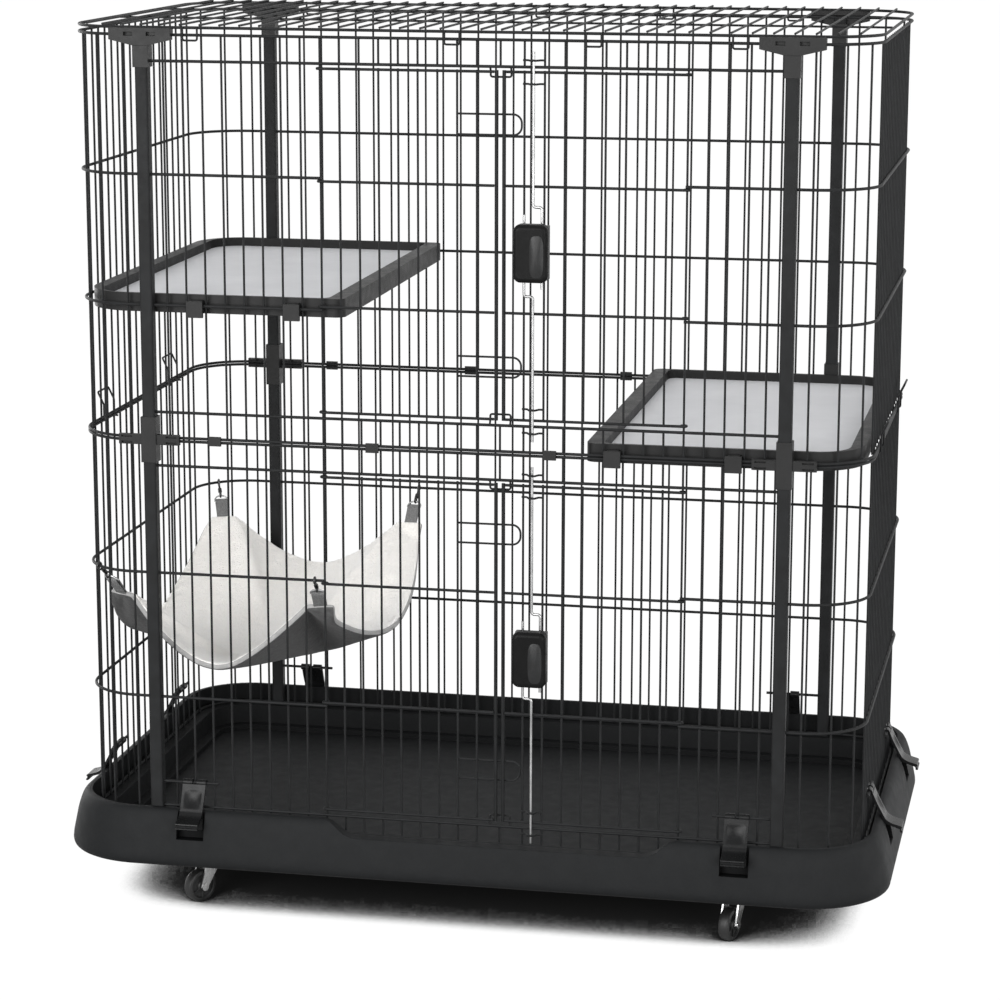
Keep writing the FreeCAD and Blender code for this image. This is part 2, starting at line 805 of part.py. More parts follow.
def rack(side):
    """A toothed bar beside a rod, about the latch's middle, with its teeth towards the pinion."""
    spare = rack_overrun * tooth_pitch
    low, high = sorted((-side * 1.5 * tooth_pitch, side * (spare + tooth_pitch / 2)))
    near, far = sorted((side * rack_root, side * rack_outer))
    bar = block(V(near, pinion_front_y, low), V(far, rod_y, high))
    pieces = [bar]
    for k in range(-1, rack_overrun + 1):
        z = side * k * tooth_pitch
        tip = side * (pinion_pitch_radius - tooth_addendum)
        root = side * rack_root
        outline = [
            V(root, pinion_back_y, z - tooth_root_width / 2),
            V(tip, pinion_back_y, z - tooth_tip_width / 2),
            V(tip, pinion_back_y, z + tooth_tip_width / 2),
            V(root, pinion_back_y, z + tooth_root_width / 2),
        ]
        pieces.append(prism(outline, V(0, -pinion_thickness, 0)))
    return pieces


def latch_rod(tier, side):
    """The upper rod (side 1) or the lower rod (side -1), with its jog and rack."""
    far_end = tier.header + rod_overreach if side > 0 else tier.sill - rod_overreach
    far = far_end - tier.latch_z
    beside = side * rod_offset
    corners = [
        V(0, rod_y, far),
        V(0, rod_y, side * jog_rise),
        V(beside, rod_y, side * jog_rise),
        V(beside, rod_y, -side * rod_tail),
    ]
    rod = joined([bent_wire(corners, rod_radius, rod_bend)] + rack(side))
    rod.translate(V(latch_x, 0, tier.latch_z))
    return rod


# Tray, its clips and casters

clip_reach = post_half_spacing - clip_post_space
front_clip_places = (nearest(front_left_places, -clip_reach), nearest(front_right_places, clip_reach))
back_clip_places = (nearest(back_places, -clip_reach), nearest(back_places, clip_reach))
clip_places = {
    "front_left": ("front", front_clip_places[0]),
    "front_right": ("front", front_clip_places[1]),
    "back_left": ("back", back_clip_places[0]),
    "back_right": ("back", back_clip_places[1]),
    "left_front": ("left", -side_clip_y),
    "left_back": ("left", side_clip_y),
    "right_front": ("right", -side_clip_y),
    "right_back": ("right", side_clip_y),
}


def tray_plan(overhang, z):
    """The cage's round-cornered plan, grown by an overhang."""
    return plan(cage_half_width + overhang, cage_half_depth + overhang, corner_radius + overhang, z)


def wall_reach(z):
    """How far the skirt's bowed outside stands out from the ring plane at a height."""
    bulge_z = skirt_bottom + bulge_rise
    top_reach = rim_inner + rim_flat
    fall = (rim_z - z) / (rim_z - bulge_z)
    return top_reach + (rim_outer + skirt_flare - top_reach) * fall ** skirt_bow


def tray_outside():
    """The tray's outer form: a tucked foot, the bulge and the bowed wall up to the rim."""
    bulge = rim_outer + skirt_flare
    bulge_z = skirt_bottom + bulge_rise
    outlines = [tray_plan(bulge - skirt_tuck, skirt_bottom)]
    outlines.append(tray_plan(bulge - skirt_tuck / 4, skirt_bottom + bulge_rise / 4))
    for k in range(wall_sections, -1, -1):
        z = rim_z - (k / wall_sections) ** 2 * (rim_z - bulge_z)
        outlines.append(tray_plan(wall_reach(z), z))
    return Part.makeLoft(outlines, True, False)


def base_tray():
    """The pan with its step, the ledge and rim, the bowed skirt, clip pockets and caster bosses."""
    pan_edge = rim_inner - ledge_width
    step_edge = pan_edge - pan_draft
    step_z = pan_z + pan_step_rise
    floor_edge = step_edge - pan_step_width
    tray = tray_outside()
    tray = tray.cut(tapered(tray_plan(rim_inner, ledge_z), tray_plan(rim_inner, rim_z + 1)))
    tray = tray.cut(tapered(tray_plan(step_edge, step_z), tray_plan(pan_edge, ledge_z + 1)))
    tray = tray.cut(tapered(tray_plan(floor_edge, pan_z), tray_plan(floor_edge, step_z + 1)))
    ceiling = ledge_z - tray_wall
    hollow_low = tray_plan(rim_outer + skirt_flare - skirt_tuck - tray_wall, skirt_bottom - 1)
    hollow = tapered(hollow_low, tray_plan(wall_reach(ceiling) - tray_wall, ceiling))
    pan_low = tray_plan(step_edge + tray_wall, pan_z - tray_wall)
    hollow = hollow.cut(tapered(pan_low, tray_plan(pan_edge + tray_wall, ledge_z)))
    tray = tray.cut(hollow)
    boss_top = pan_z - tray_wall / 2
    for x, y in caster_places.values():
        boss = wire(V(x, y, boss_bottom_z), V(x, y, boss_top), boss_radius)
        bore = wire(V(x, y, boss_bottom_z - 1), V(x, y, pan_z - tray_wall), stem_radius)
        tray = tray.fuse(boss).cut(bore)
    tray = tray.cut(front_dip())
    backings = [on_wall(pocket_backing(), wall, along) for wall, along in clip_places.values()]
    pockets = [on_wall(pocket(), wall, along) for wall, along in clip_places.values()]
    return tray.multiFuse(backings).cut(pockets).removeSplitter()


def front_dip():
    """The space over the lowered stretch of the front rim, which falls and rises in S-curves."""
    middle = (left_hinge_x + right_hinge_x) / 2
    low = rim_z - dip_depth
    high = rim_z + 1
    depth = high - low
    bend = (dip_slope ** 2 + depth ** 2) / (4 * depth)
    half_turn = math.asin(dip_slope / 2 / bend) / 2
    in_x, in_z = bend * math.sin(half_turn), bend * (1 - math.cos(half_turn))
    edges = []
    for side in (-1, 1):
        top = V(middle + side * (dip_half_width + dip_slope), front_y, high)
        half_way = V(middle + side * (dip_half_width + dip_slope / 2), front_y, (low + high) / 2)
        bottom = V(middle + side * dip_half_width, front_y, low)
        upper = Part.Arc(top, top + V(-side * in_x, 0, -in_z), half_way).toShape()
        lower = Part.Arc(half_way, bottom + V(side * in_x, 0, in_z), bottom).toShape()
        edges += [upper, lower]
    left_bottom, right_bottom = edges[1].Vertexes[-1].Point, edges[3].Vertexes[-1].Point
    left_top, right_top = edges[0].Vertexes[0].Point, edges[2].Vertexes[0].Point
    edges.append(Part.LineSegment(left_bottom, right_bottom).toShape())
    edges.append(Part.LineSegment(right_top, left_top).toShape())
    outline = Part.Wire(Part.__sortEdges__(edges))
    return Part.Face(outline).extrude(V(0, -2 * (rim_outer + skirt_flare), 0))


pocket_floor_z = clip_bottom_z - pocket_drop


def pocket():
    """The space cut out of the skirt round one tray clip."""
    half = clip_half_width + pocket_margin
    return block(V(-half, -clip_tab_reach, pocket_floor_z), V(half, -rim_outer, rim_z + 1))


def pocket_backing():
    """The walls behind, beside and below a clip pocket, out to the skirt."""
    half = clip_half_width + pocket_margin + tray_wall
    inside_skirt = tray_wall / 2
    floor_z = pocket_floor_z - tray_wall
    outline = [
        V(-half, -rim_outer + tray_wall, ledge_z),
        V(-half, -wall_reach(ledge_z) + inside_skirt, ledge_z),
        V(-half, -wall_reach(floor_z) + inside_skirt, floor_z),
        V(-half, -rim_outer + tray_wall, floor_z),
    ]
    return prism(outline, V(2 * half, 0, 0))


def tray_clip():
    """A clip with a split hook on its wire, a plate down over the rim and a thumb tab."""
    wire_z = clip_wire_z
    bore = ring_radius + bore_clearance
    hook_radius = bore + clip_hook_wall
    half = clip_half_width
    inner = rim_outer + pocket_clearance
    bend_z = rim_z + clip_thickness
    plate_outline = [
        V(-half, -bore, wire_z + hook_radius - bore),
        V(-half, -hook_radius - 1, wire_z),
        V(-half, -inner - clip_thickness, bend_z),
        V(-half, -inner - clip_thickness, clip_bottom_z),
        V(-half, -inner, clip_bottom_z),
        V(-half, -inner, bend_z - 1),
        V(-half, -bore, wire_z - bore),
    ]
    plate = prism(plate_outline, V(2 * half, 0, 0))
    hook = wire(V(-half, 0, wire_z), V(half, 0, wire_z), hook_radius)
    clip = joined([plate, hook, clip_tab()])
    clip = clip.cut(wire(V(-half - 1, 0, wire_z), V(half + 1, 0, wire_z), bore))
    mouth = block(V(-half - 1, -bore / 2, wire_z - 2 * hook_radius), V(half + 1, bore, wire_z))
    slot = clip_slot_half_width
    below = block(V(-slot, -hook_radius, wire_z - 2 * hook_radius), V(slot, 2 * hook_radius, wire_z))
    above = block(V(-slot, -2 * hook_radius, wire_z), V(slot, 2 * hook_radius, wire_z + 2 * hook_radius))
    return clip.cut([mouth, below, above]).removeSplitter()


def clip_tab():
    """The thumb tab that stands out from a clip's plate, with a turned-down tip."""
    half = clip_half_width
    root = rim_outer + pocket_clearance + clip_thickness / 2
    top = rim_z - clip_tab_fall
    tip_top = top - clip_thickness
    tip_back = -clip_tab_reach + clip_thickness
    outline = [
        V(-half, -root, top),
        V(-half, -clip_tab_reach, tip_top),
        V(-half, -clip_tab_reach, tip_top - clip_thickness - clip_tab_drop),
        V(-half, tip_back, tip_top - clip_thickness - clip_tab_drop),
        V(-half, tip_back, tip_top - clip_thickness),
        V(-half, -root, top - clip_thickness),
    ]
    return prism(outline, V(2 * half, 0, 0))


caster_turns = {"front_left": -40, "front_right": -18, "back_left": 65, "back_right": 150}
caster_places = {
    "front_left": (-caster_x, -caster_y),
    "front_right": (caster_x, -caster_y),
    "back_left": (-caster_x, caster_y),
    "back_right": (caster_x, caster_y),
}
wheel_radius = wheel_diameter / 2
boss_bottom_z = pan_z - tray_wall - boss_drop
fork_top_z = boss_bottom_z - swivel_gap
fork_half_gap = wheel_width / 2 + fork_side_gap


def at_caster(shape, corner):
    """Turns and moves a piece made about a stem, trailing to the front, to its corner."""
    moved = shape.copy()
    moved.rotate(V(), UP, caster_turns[corner])
    moved.translate(V(*caster_places[corner], 0))
    return moved


def axle_room(half_length):
    """The space that the axle turns in."""
    start = V(-half_length, -caster_trail, wheel_radius)
    return wire(start, V(half_length, -caster_trail, wheel_radius), axle_radius + axle_clearance)


def caster_stem(corner):
    """The fixed bolt that the fork turns on, with a head under the fork."""
    head_top = fork_top_z - fork_plate - swivel_gap
    shaft = wire(V(0, 0, head_top - stem_head), V(0, 0, pan_z - tray_wall), stem_radius - stem_clearance)
    head = wire(V(0, 0, head_top - stem_head), V(0, 0, head_top), stem_head_radius)
    return at_caster(joined([shaft, head]), corner)


def caster_fork(corner):
    """A bent steel fork: a round top plate and two tapering arms down to the axle."""
    top = fork_top_z
    plate = wire(V(0, 0, top - fork_plate), V(0, 0, top), fork_plate_radius)
    pieces = [plate]
    for side in (-1, 1):
        x = side * fork_half_gap - (fork_plate if side < 0 else 0)
        root = math.sqrt(fork_plate_radius ** 2 - (fork_half_gap + fork_plate) ** 2)
        arm_outline = [
            V(x, root, top),
            V(x, -root - fork_arm_foot, top),
            V(x, -caster_trail - fork_arm_foot, wheel_radius),
            V(x, -caster_trail, wheel_radius - fork_arm_foot),
            V(x, -caster_trail + fork_arm_foot, wheel_radius),
        ]
        pieces.append(prism(arm_outline, V(fork_plate, 0, 0)))
        bridge_low = V(min(x, x + fork_plate), -root - fork_arm_foot, top - fork_plate)
        pieces.append(block(bridge_low, V(x + fork_plate, root, top)))
    deck = block(V(-fork_half_gap, -root - fork_arm_foot, top - fork_plate), V(fork_half_gap, 0, top))
    fork = joined(pieces + [deck])
    fork = fork.cut(wire(V(0, 0, 0), V(0, 0, top + 1), stem_radius + stem_clearance))
    return at_caster(fork.cut(axle_room(2 * fork_half_gap)), corner)


def caster_wheel(corner):
    """A wheel with rounded edges and a bore."""
    half = wheel_width / 2
    wheel = wire(V(-half, -caster_trail, wheel_radius), V(half, -caster_trail, wheel_radius), wheel_radius)
    rims = [edge for edge in wheel.Edges if isinstance(edge.Curve, Part.Circle)]
    wheel = wheel.makeFillet(wheel_edge, rims)
    return at_caster(wheel.cut(axle_room(wheel_width)), corner)


def caster_axle(corner):
    """A rivet through the fork and wheel with a head outside each arm."""
    half = fork_half_gap + fork_plate
    pieces = [wire(V(-half, -caster_trail, wheel_radius), V(half, -caster_trail, wheel_radius), axle_radius)]
    for side in (-1, 1):
        near = V(side * half, -caster_trail, wheel_radius)
        far = V(side * (half + axle_head), -caster_trail, wheel_radius)
        pieces.append(wire(near, far, axle_head_radius))
    return at_caster(joined(pieces), corner)


# Shelves

def shelf_plan(outer_x, edge_x, half_y, large, small, z):
    """An outline with large corners at the cage's side and small corners at the free edge."""
    outward = -1 if outer_x < 0 else 1
    corners = [(outer_x, -1, large, -outward), (edge_x, -1, small, outward)]
    edges = []
    for half in (1, -1):
        for x, end, radius, toward in corners if half > 0 else corners[::-1]:
            y = half * end * half_y
            back = -half * end
            along = V(x + toward * radius, y, z)
            across = V(x, y + back * radius, z)
            slant = radius * (1 - math.sqrt(0.5))
            middle = V(x + toward * slant, y + back * slant, z)
            order = (across, middle, along) if (half > 0) == (radius == large) else (along, middle, across)
            if edges:
                edges.append(Part.LineSegment(edges[-1].Vertexes[-1].Point, order[0]).toShape())
            edges.append(Part.Arc(*order).toShape())
    start = edges[0].Vertexes[0].Point
    edges.append(Part.LineSegment(edges[-1].Vertexes[-1].Point, start).toShape())
    return Part.Wire(edges)


def shelf_slab(inner_x, low, high):
    """A flat plate with a shelf's outline."""
    outer_x = math.copysign(cage_half_width - shelf_inset, inner_x)
    half_y = cage_half_depth - shelf_inset
    large = corner_radius - shelf_inset
    outline = shelf_plan(outer_x, inner_x, half_y, large, shelf_inner_corner, low)
    return Part.Face(outline).extrude(UP * (high - low))


def shelf_recess(inner_x, inset, low, high):
    """A flat plate that fills the space inside a shelf's rim, drawn in by an inset."""
    outer_x = math.copysign(cage_half_width - shelf_inset - shelf_outer_bar - inset, inner_x)
    edge_x = inner_x + math.copysign(shelf_inner_bar + inset, inner_x)
    half_y = cage_half_depth - shelf_inset - shelf_wall - inset
    large = shelf_recess_corner - inset
    outline = shelf_plan(outer_x, edge_x, half_y, large, shelf_inner_corner - inset / 2, low)
    return Part.Face(outline).extrude(UP * (high - low))


def shelf_frame(inner_x, ring_z):
    """A shelf's rim, wide along its two ends, with a ledge that the panel lies on."""
    top = ring_z + shelf_top_rise
    low = top - shelf_height
    ledge = low + shelf_ledge_rise
    frame = shelf_slab(inner_x, low, top)
    frame = frame.cut(shelf_recess(inner_x, 0, ledge, top + 1))
    return frame.cut(shelf_recess(inner_x, shelf_ledge, low - 1, top + 1))


def shelf_panel(inner_x, ring_z):
    """The pale panel, loose in its rim."""
    ledge = ring_z + shelf_top_rise - shelf_height + shelf_ledge_rise
    return shelf_recess(inner_x, seat_clearance, ledge, ledge + shelf_panel_thickness)


def shelf_clip(ring_z, along, wall):
    """A hook from a shelf's rim between two uprights and over a ring."""
    top = ring_z + ring_radius + shelf_clip_thickness
    lip_face = -ring_radius - seat_clearance
    arm_low = V(-shelf_clip_half_width, lip_face - shelf_clip_thickness, ring_z + ring_radius)
    arm = block(arm_low, V(shelf_clip_half_width, shelf_inset, top))
    lip_low = V(-shelf_clip_lip_half_width, lip_face - shelf_clip_thickness, ring_z - shelf_clip_lip)
    lip = block(lip_low, V(shelf_clip_lip_half_width, lip_face, top))
    return on_wall(joined([arm, lip]), wall, along)


def shelf_clips():
    """Two clips at the front and two at the back of each shelf."""
    clips = []
    by_post = post_half_spacing - shelf_clip_post_space
    left_places = (-by_post, left_shelf_inner_x - left_shelf_clip_edge_space)
    right_places = (right_shelf_inner_x + right_shelf_clip_edge_space, by_post)
    for ring_z, wanted in ((upper_tier.low_ring, left_places), (upper_tier.bottom, right_places)):
        for place in wanted:
            clips.append(shelf_clip(ring_z, nearest_gap(front_places, place), "front"))
            clips.append(shelf_clip(ring_z, nearest_gap(back_places, place), "back"))
    return clips


# Hammock

hammock_z = lower_tier.high_ring
slope = math.radians(chain_slope)
hook_half = ring_radius + hook_gap + hook_wire_radius


def hammock_anchor(side_x, end):
    """A hanging place on the ring and the level direction in towards the hammock."""
    lean = math.radians(left_chain_lean if side_x < 0 else right_chain_lean)
    inward = V(-side_x * math.sin(lean), -end * math.cos(lean), 0)
    if side_x < 0:
        short = corner_radius * math.sqrt(0.5)
        return V(-bend_x - short, end * (bend_y + short), hammock_z), inward
    places = front_places if end < 0 else back_places
    x = nearest_gap(places, hammock_right_x)
    return V(x, end * cage_half_depth, hammock_z), inward


anchors = {(sx, end): hammock_anchor(sx, end) for sx in (-1, 1) for end in (-1, 1)}


def chain_place(anchor, inward, along):
    """A place down the slanting chain from a hook to its cloth corner."""
    start = anchor + inward * hook_half - UP * hook_half
    return start + inward * (along * math.cos(slope)) - UP * (along * math.sin(slope))


def hammock_hook(anchor, inward):
    """A wire hook over the ring with a straight shank down towards the strap."""
    corners = [
        anchor - inward * hook_half - UP * hook_half,
        anchor - inward * hook_half + UP * hook_half,
        anchor + inward * hook_half + UP * hook_half,
        anchor + inward * hook_half - UP * hook_half,
        chain_place(anchor, inward, hook_reach),
    ]
    return bent_wire(corners, hook_wire_radius, 1.5 * hook_wire_radius)


def hammock_strap(anchor, inward):
    """A short flat webbing tab from a hook to a corner of the cloth."""
    start = chain_place(anchor, inward, hook_reach + strap_gap)
    end = chain_place(anchor, inward, hook_reach + strap_gap + strap_length)
    across = inward.cross(UP) * strap_half_width
    down = (end - start).normalize()
    lift = down.cross(across).normalize() * (strap_thickness / 2)
    outline = [start - across - lift, start + across - lift, start + across + lift, start - across + lift]
    return prism(outline, end - start)


def mid_hang(share):
    """Nought at both ends of a hanging edge and one at its middle."""
    return 1 - (2 * share - 1) ** 2


def cloth_front_edge():
    """The cloth's front edge from left to right: a blunt corner, a scallop that sags, and a blunt corner."""
    blunt = []
    for side_x in (-1, 1):
        anchor, inward = anchors[(side_x, -1)]
        sewn = chain_place(anchor, inward, hook_reach + 2 * strap_gap + strap_length)
        half = inward.cross(UP) * cloth_corner_half
        blunt.append([sewn - half, sewn + half])
    left, right = blunt[0][-1], blunt[1][0]
    scallop = []
    for k in range(1, cloth_sections + 1):
        share = k / (cloth_sections + 1)
        pull = V(0, cloth_edge_scallop, -cloth_front_sag) * mid_hang(share)
        scallop.append(left + (right - left) * share + pull)
    return blunt[0] + scallop + blunt[1]


def hammock_cloth():
    """A thick cloth that hangs from its four blunt corners and sags most at its middle."""
    front_edge = cloth_front_edge()
    left, right = front_edge[0], front_edge[-1]
    sections = []
    for front in front_edge:
        share = (front.x - left.x) / (right.x - left.x)
        side_sag = cloth_left_sag + (cloth_right_sag - cloth_left_sag) * share
        middle_rise = cloth_centre_sag - (cloth_left_sag + cloth_right_sag) / 2
        middle_z = left.z - side_sag - middle_rise * mid_hang(share)
        middle = V(front.x + cloth_right_bulge * share ** 2, 0, middle_z)
        back = V(front.x, -front.y, front.z)
        down = (middle - (front + back) / 2).normalize() * cloth_thickness
        top = Part.Arc(front, middle, back).toShape()
        low = Part.Arc(back + down, middle + down, front + down).toShape()
        back_side = Part.LineSegment(back, back + down).toShape()
        front_side = Part.LineSegment(front + down, front).toShape()
        sections.append(Part.Wire([top, back_side, low, front_side]))
    left_end = Part.makeLoft(sections[:2], True, True)
    right_end = Part.makeLoft(sections[-2:], True, True)
    return Part.makeLoft(sections[1:-1], True, False).fuse([left_end, right_end])


def turned_copies(pieces):
    """The right side's pieces: the left side's, turned half way round."""
    copies = []
    for piece in pieces:
        copy = piece.copy()
        copy.rotate(V(), UP, 180)
        copies.append(copy)
    return copies


def build():
    """All sub-parts by name, each as a list of solids."""
    nodes = {"base_tray": [base_tray()]}
    for corner in caster_places:
        nodes["caster_fork_" + corner] = [caster_fork(corner)]
        nodes["caster_wheel_" + corner] = [caster_wheel(corner)]
        nodes["caster_axle_" + corner] = [caster_axle(corner)]
    nodes["caster_stems"] = [caster_stem(corner) for corner in caster_places]
    for name, (wall, along) in clip_places.items():
        nodes["tray_clip_" + name] = [on_wall(tray_clip(), wall, along)]
    nodes["lower_posts"] = [post(x, y, ledge_z, joint_z) for x, y in post_places]
    nodes["upper_posts"] = [post(x, y, joint_z, upper_top) for x, y in post_places]
    nodes["mid_connectors"] = beside_posts(mid_connector())
    nodes["top_connectors"] = beside_posts(top_connector())
    for name, tier in (("lower", lower_tier), ("upper", upper_tier)):
        left = left_panel(tier)
        nodes[name + "_left_panel"] = left
        nodes[name + "_right_panel"] = turned_copies(left)
        nodes[name + "_back_panel"] = back_panel(tier)
        nodes[name + "_front_panel"] = front_panel(tier)
        nodes[name + "_left_door"] = left_leaf(tier)
        nodes[name + "_right_door"] = right_leaf(tier)
        nodes[name + "_latch_case"] = [latch_case(tier)]
        nodes[name + "_latch_knob"] = [latch_knob(tier)]
        nodes[name + "_latch_upper_rod"] = [latch_rod(tier, 1)]
        nodes[name + "_latch_lower_rod"] = [latch_rod(tier, -1)]
    nodes["roof_panel"] = roof_panel()
    nodes["ring_clips"] = [ring_clip(x, wall) for wall in ("front", "back") for x in ring_clip_places]
    hook_places = [(y, wall) for wall in ("left", "right") for y in (-side_clip_y, side_clip_y)]
    nodes["tier_hooks"] = [tier_hook(*place) for place in hook_places]
    for name, inner_x, ring_z in (
        ("left", left_shelf_inner_x, upper_tier.low_ring),
        ("right", right_shelf_inner_x, upper_tier.bottom),
    ):
        nodes[name + "_shelf_frame"] = [shelf_frame(inner_x, ring_z)]
        nodes[name + "_shelf_panel"] = [shelf_panel(inner_x, ring_z)]
    nodes["shelf_clips"] = shelf_clips()
    nodes["hammock_cloth"] = [hammock_cloth()]
    nodes["hammock_straps"] = [hammock_strap(*anchor) for anchor in anchors.values()]
    nodes["hammock_hooks"] = [hammock_hook(*anchor) for anchor in anchors.values()]
    return nodes


os.makedirs("parts", exist_ok=True)
for node, solids in build().items():
    shape = solids[0] if len(solids) == 1 else Part.makeCompound(solids)
    shape.exportStep("parts/" + node + ".step")
    print(node, len(shape.Solids), shape.isValid(), round(shape.Volume, 1))
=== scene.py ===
"""Looks of a two-tier wire cat playpen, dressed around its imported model.

Metres, +Z up, front towards -Y. The wires, posts, tray and shelves are the model's own solids with
procedural finishes. The hammock and its hardware, the wheels, the tray clips and the grips on the latch
knobs are made here.
"""
import json
import math

import bmesh
import bpy
from mathutils import Matrix, Vector, noise

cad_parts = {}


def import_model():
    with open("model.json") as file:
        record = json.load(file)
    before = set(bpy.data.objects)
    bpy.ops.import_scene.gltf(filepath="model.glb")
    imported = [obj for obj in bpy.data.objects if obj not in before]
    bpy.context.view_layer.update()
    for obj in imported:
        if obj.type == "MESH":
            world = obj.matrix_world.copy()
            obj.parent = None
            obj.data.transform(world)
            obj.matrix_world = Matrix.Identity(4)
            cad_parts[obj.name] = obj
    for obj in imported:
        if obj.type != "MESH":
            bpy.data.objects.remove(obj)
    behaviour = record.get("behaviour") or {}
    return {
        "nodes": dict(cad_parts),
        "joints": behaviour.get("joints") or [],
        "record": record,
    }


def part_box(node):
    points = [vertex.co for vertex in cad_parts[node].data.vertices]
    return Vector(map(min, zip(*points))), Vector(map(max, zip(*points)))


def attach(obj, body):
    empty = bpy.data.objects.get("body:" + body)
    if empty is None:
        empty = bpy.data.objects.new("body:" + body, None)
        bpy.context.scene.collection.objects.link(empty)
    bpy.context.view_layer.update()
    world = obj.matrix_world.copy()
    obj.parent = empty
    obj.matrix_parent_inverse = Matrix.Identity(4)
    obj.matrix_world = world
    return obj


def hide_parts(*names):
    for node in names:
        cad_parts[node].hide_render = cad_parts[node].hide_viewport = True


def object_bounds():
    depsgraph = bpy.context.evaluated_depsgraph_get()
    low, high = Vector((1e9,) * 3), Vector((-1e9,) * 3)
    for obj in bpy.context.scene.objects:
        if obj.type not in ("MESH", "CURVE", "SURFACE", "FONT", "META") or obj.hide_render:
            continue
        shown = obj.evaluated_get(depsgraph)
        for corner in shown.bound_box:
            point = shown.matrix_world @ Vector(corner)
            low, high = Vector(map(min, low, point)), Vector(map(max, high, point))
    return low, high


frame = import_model()
cad_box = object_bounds()
UP = Vector((0, 0, 1))
MM = 0.001

# Camera, from the photograph's view: angles in degrees, lens and sensor in millimetres
CAMERA_PLACE = Vector((0.68665, -3.40768, 1.17989))
CAMERA_YAW = 11.531
CAMERA_PITCH = 12.123
CAMERA_ROLL = 0.106
CAMERA_LENS = 111.47
SENSOR = 36.0

# Light, with the place of each lamp and its power in watts
AMBIENT = 0.34
LAMPS = {
    "key_light": ((-1.4, -3.5, 1.4), 160.0),
    "fill_light": ((2.2, -3.0, 1.2), 90.0),
    "top_light": ((0.1, 0.2, 3.2), 18.0),
    "left_light": ((-3.0, 2.2, 0.9), 60.0),
    "right_light": ((3.4, 0.3, 0.9), 60.0),
}
LAMP_SIZE = 2.4

# Floor: a shadow painted into its glow, lying where the openness above it goes from light to dark
FLOOR_SIZE = 80.0
FLOOR_COLOUR = (0.03, 0.03, 0.03, 1)
FLOOR_GLOW = 1.0
SHADOW_REACH = 0.35
SHADOW_DARK = 0.15
SHADOW_LIGHT = 0.27
SHADOW_SAMPLES = 32

# Finishes: the middle of a pattern that carries its contrast, the shade painted into hollows, and what
# rounds edges
PATTERN_LOW = 0.3
PATTERN_HIGH = 0.7
TRAY_PAINTED_SHADE = 0.10
PAINTED_SHADE_SAMPLES = 32
EDGE_SAMPLES = 4

# Shading turns sharp where faces meet at more than these angles in degrees
SHARP_ANGLE = 40.0
HARDWARE_SHARP = 50.0
MOULDED_SHARP = 35.0

# Hammock: its hanging places on the ring and the chains down to the cloth's corners
RING_RADIUS = 0.0016
RING_HEIGHT = 0.3891
LEFT_ANCHOR = (-0.41396, 0.22996)
RIGHT_ANCHORS = {-1: (-0.1627, -0.249), 1: (-0.1617, 0.249)}
LEFT_LEAN = 25.0
RIGHT_LEAN = 5.0
CHAIN_SLOPE = 43.0
HOOK_HALF = 0.0028
CHAIN_LENGTH = 0.0464

# Hammock cloth: the edges of its flat cut, its sewn corners, its grid and its simulation
FRONT_CUT = 0.320
BACK_CUT = 0.304
LEFT_CUT = 0.455
RIGHT_CUT = 0.468
CORNER_HALF = 0.016
CORNER_SHARE = 2 * CORNER_HALF / FRONT_CUT
CLOTH_COLUMNS = 50
CLOTH_ROWS = 70
CLOTH_THICKNESS = 0.0075
CLOTH_LEVELS = 2
PULL_FRAMES = 25
CLOTH_FRAMES = 90
TUFT_SIZES = ((0.011, 0.0009), (0.0045, 0.0004))

FRONT_SAG = 0.068
LEFT_SAG = 0.046
RIGHT_SAG = 0.066
CENTRE_SAG = 0.092
RIGHT_BULGE = 0.008
EDGE_SCALLOP = 0.012

# Hammock hardware, with places along the chain from the ring and angles in degrees
CLASP_WIRE = 0.0013
CLASP_GAP = 0.0003
CLASP_NECK = 0.0015
CLASP_FROM = 235.0
CLASP_TURN = 230.0
CLASP_STEPS = 12
GATE_WIRE = CLASP_WIRE * 0.8
BARREL_START = 0.006
BARREL_END = 0.0110
BARREL_RADIUS = 0.0024
COLLAR_END = 0.0122
COLLAR_RADIUS = 0.0017
EYE_PLACE = 0.0150
EYE_RADIUS = 0.0030
EYE_WIRE = CLASP_WIRE * 0.9
EYE_STEPS = 16
RING_WIRE = 0.0010
RING_PLACE = 0.0245
RING_DEPTH = 0.0080
RING_BAR_SHARES = (-1, -0.5, 0, 0.5, 1)
RING_STEPS = 12
WEB_HALF_WIDTH = 0.0075
WEB_THICKNESS = 0.0015
WEB_TUCK = 0.003
WEB_LIFT = 0.0003
WEB_SHARES = (0.15, 0.3, 0.5, 0.75, 1.0)
WEB_FOLD_STEPS = 8

# Caster wheels: the tyre's edge as pairs of a depth in from its side and one below its tread
WHEEL_RADIUS = 0.0185
WHEEL_HALF_WIDTH = 0.007
WHEEL_BORE = 0.0027
WHEEL_HUB = 0.0062
WHEEL_WEB_HALF = 0.0036
WHEEL_RIM = 0.0135
HUB_CHAMFER = 0.0008
WHEEL_FILLET = 0.0006
RIM_INSET = 0.0012
TYRE_EDGE = ((0.0007, 0.0024), (0.0014, 0.0010), (0.0030, 0.0002))
TREAD_HALF_WIDTH = 0.0015
WHEEL_RIBS = 6
RIB_INSET = 0.0016
RIB_WIDTH = 0.0014
RIB_OVERLAP = 0.001
RIB_BEVEL = 0.0003

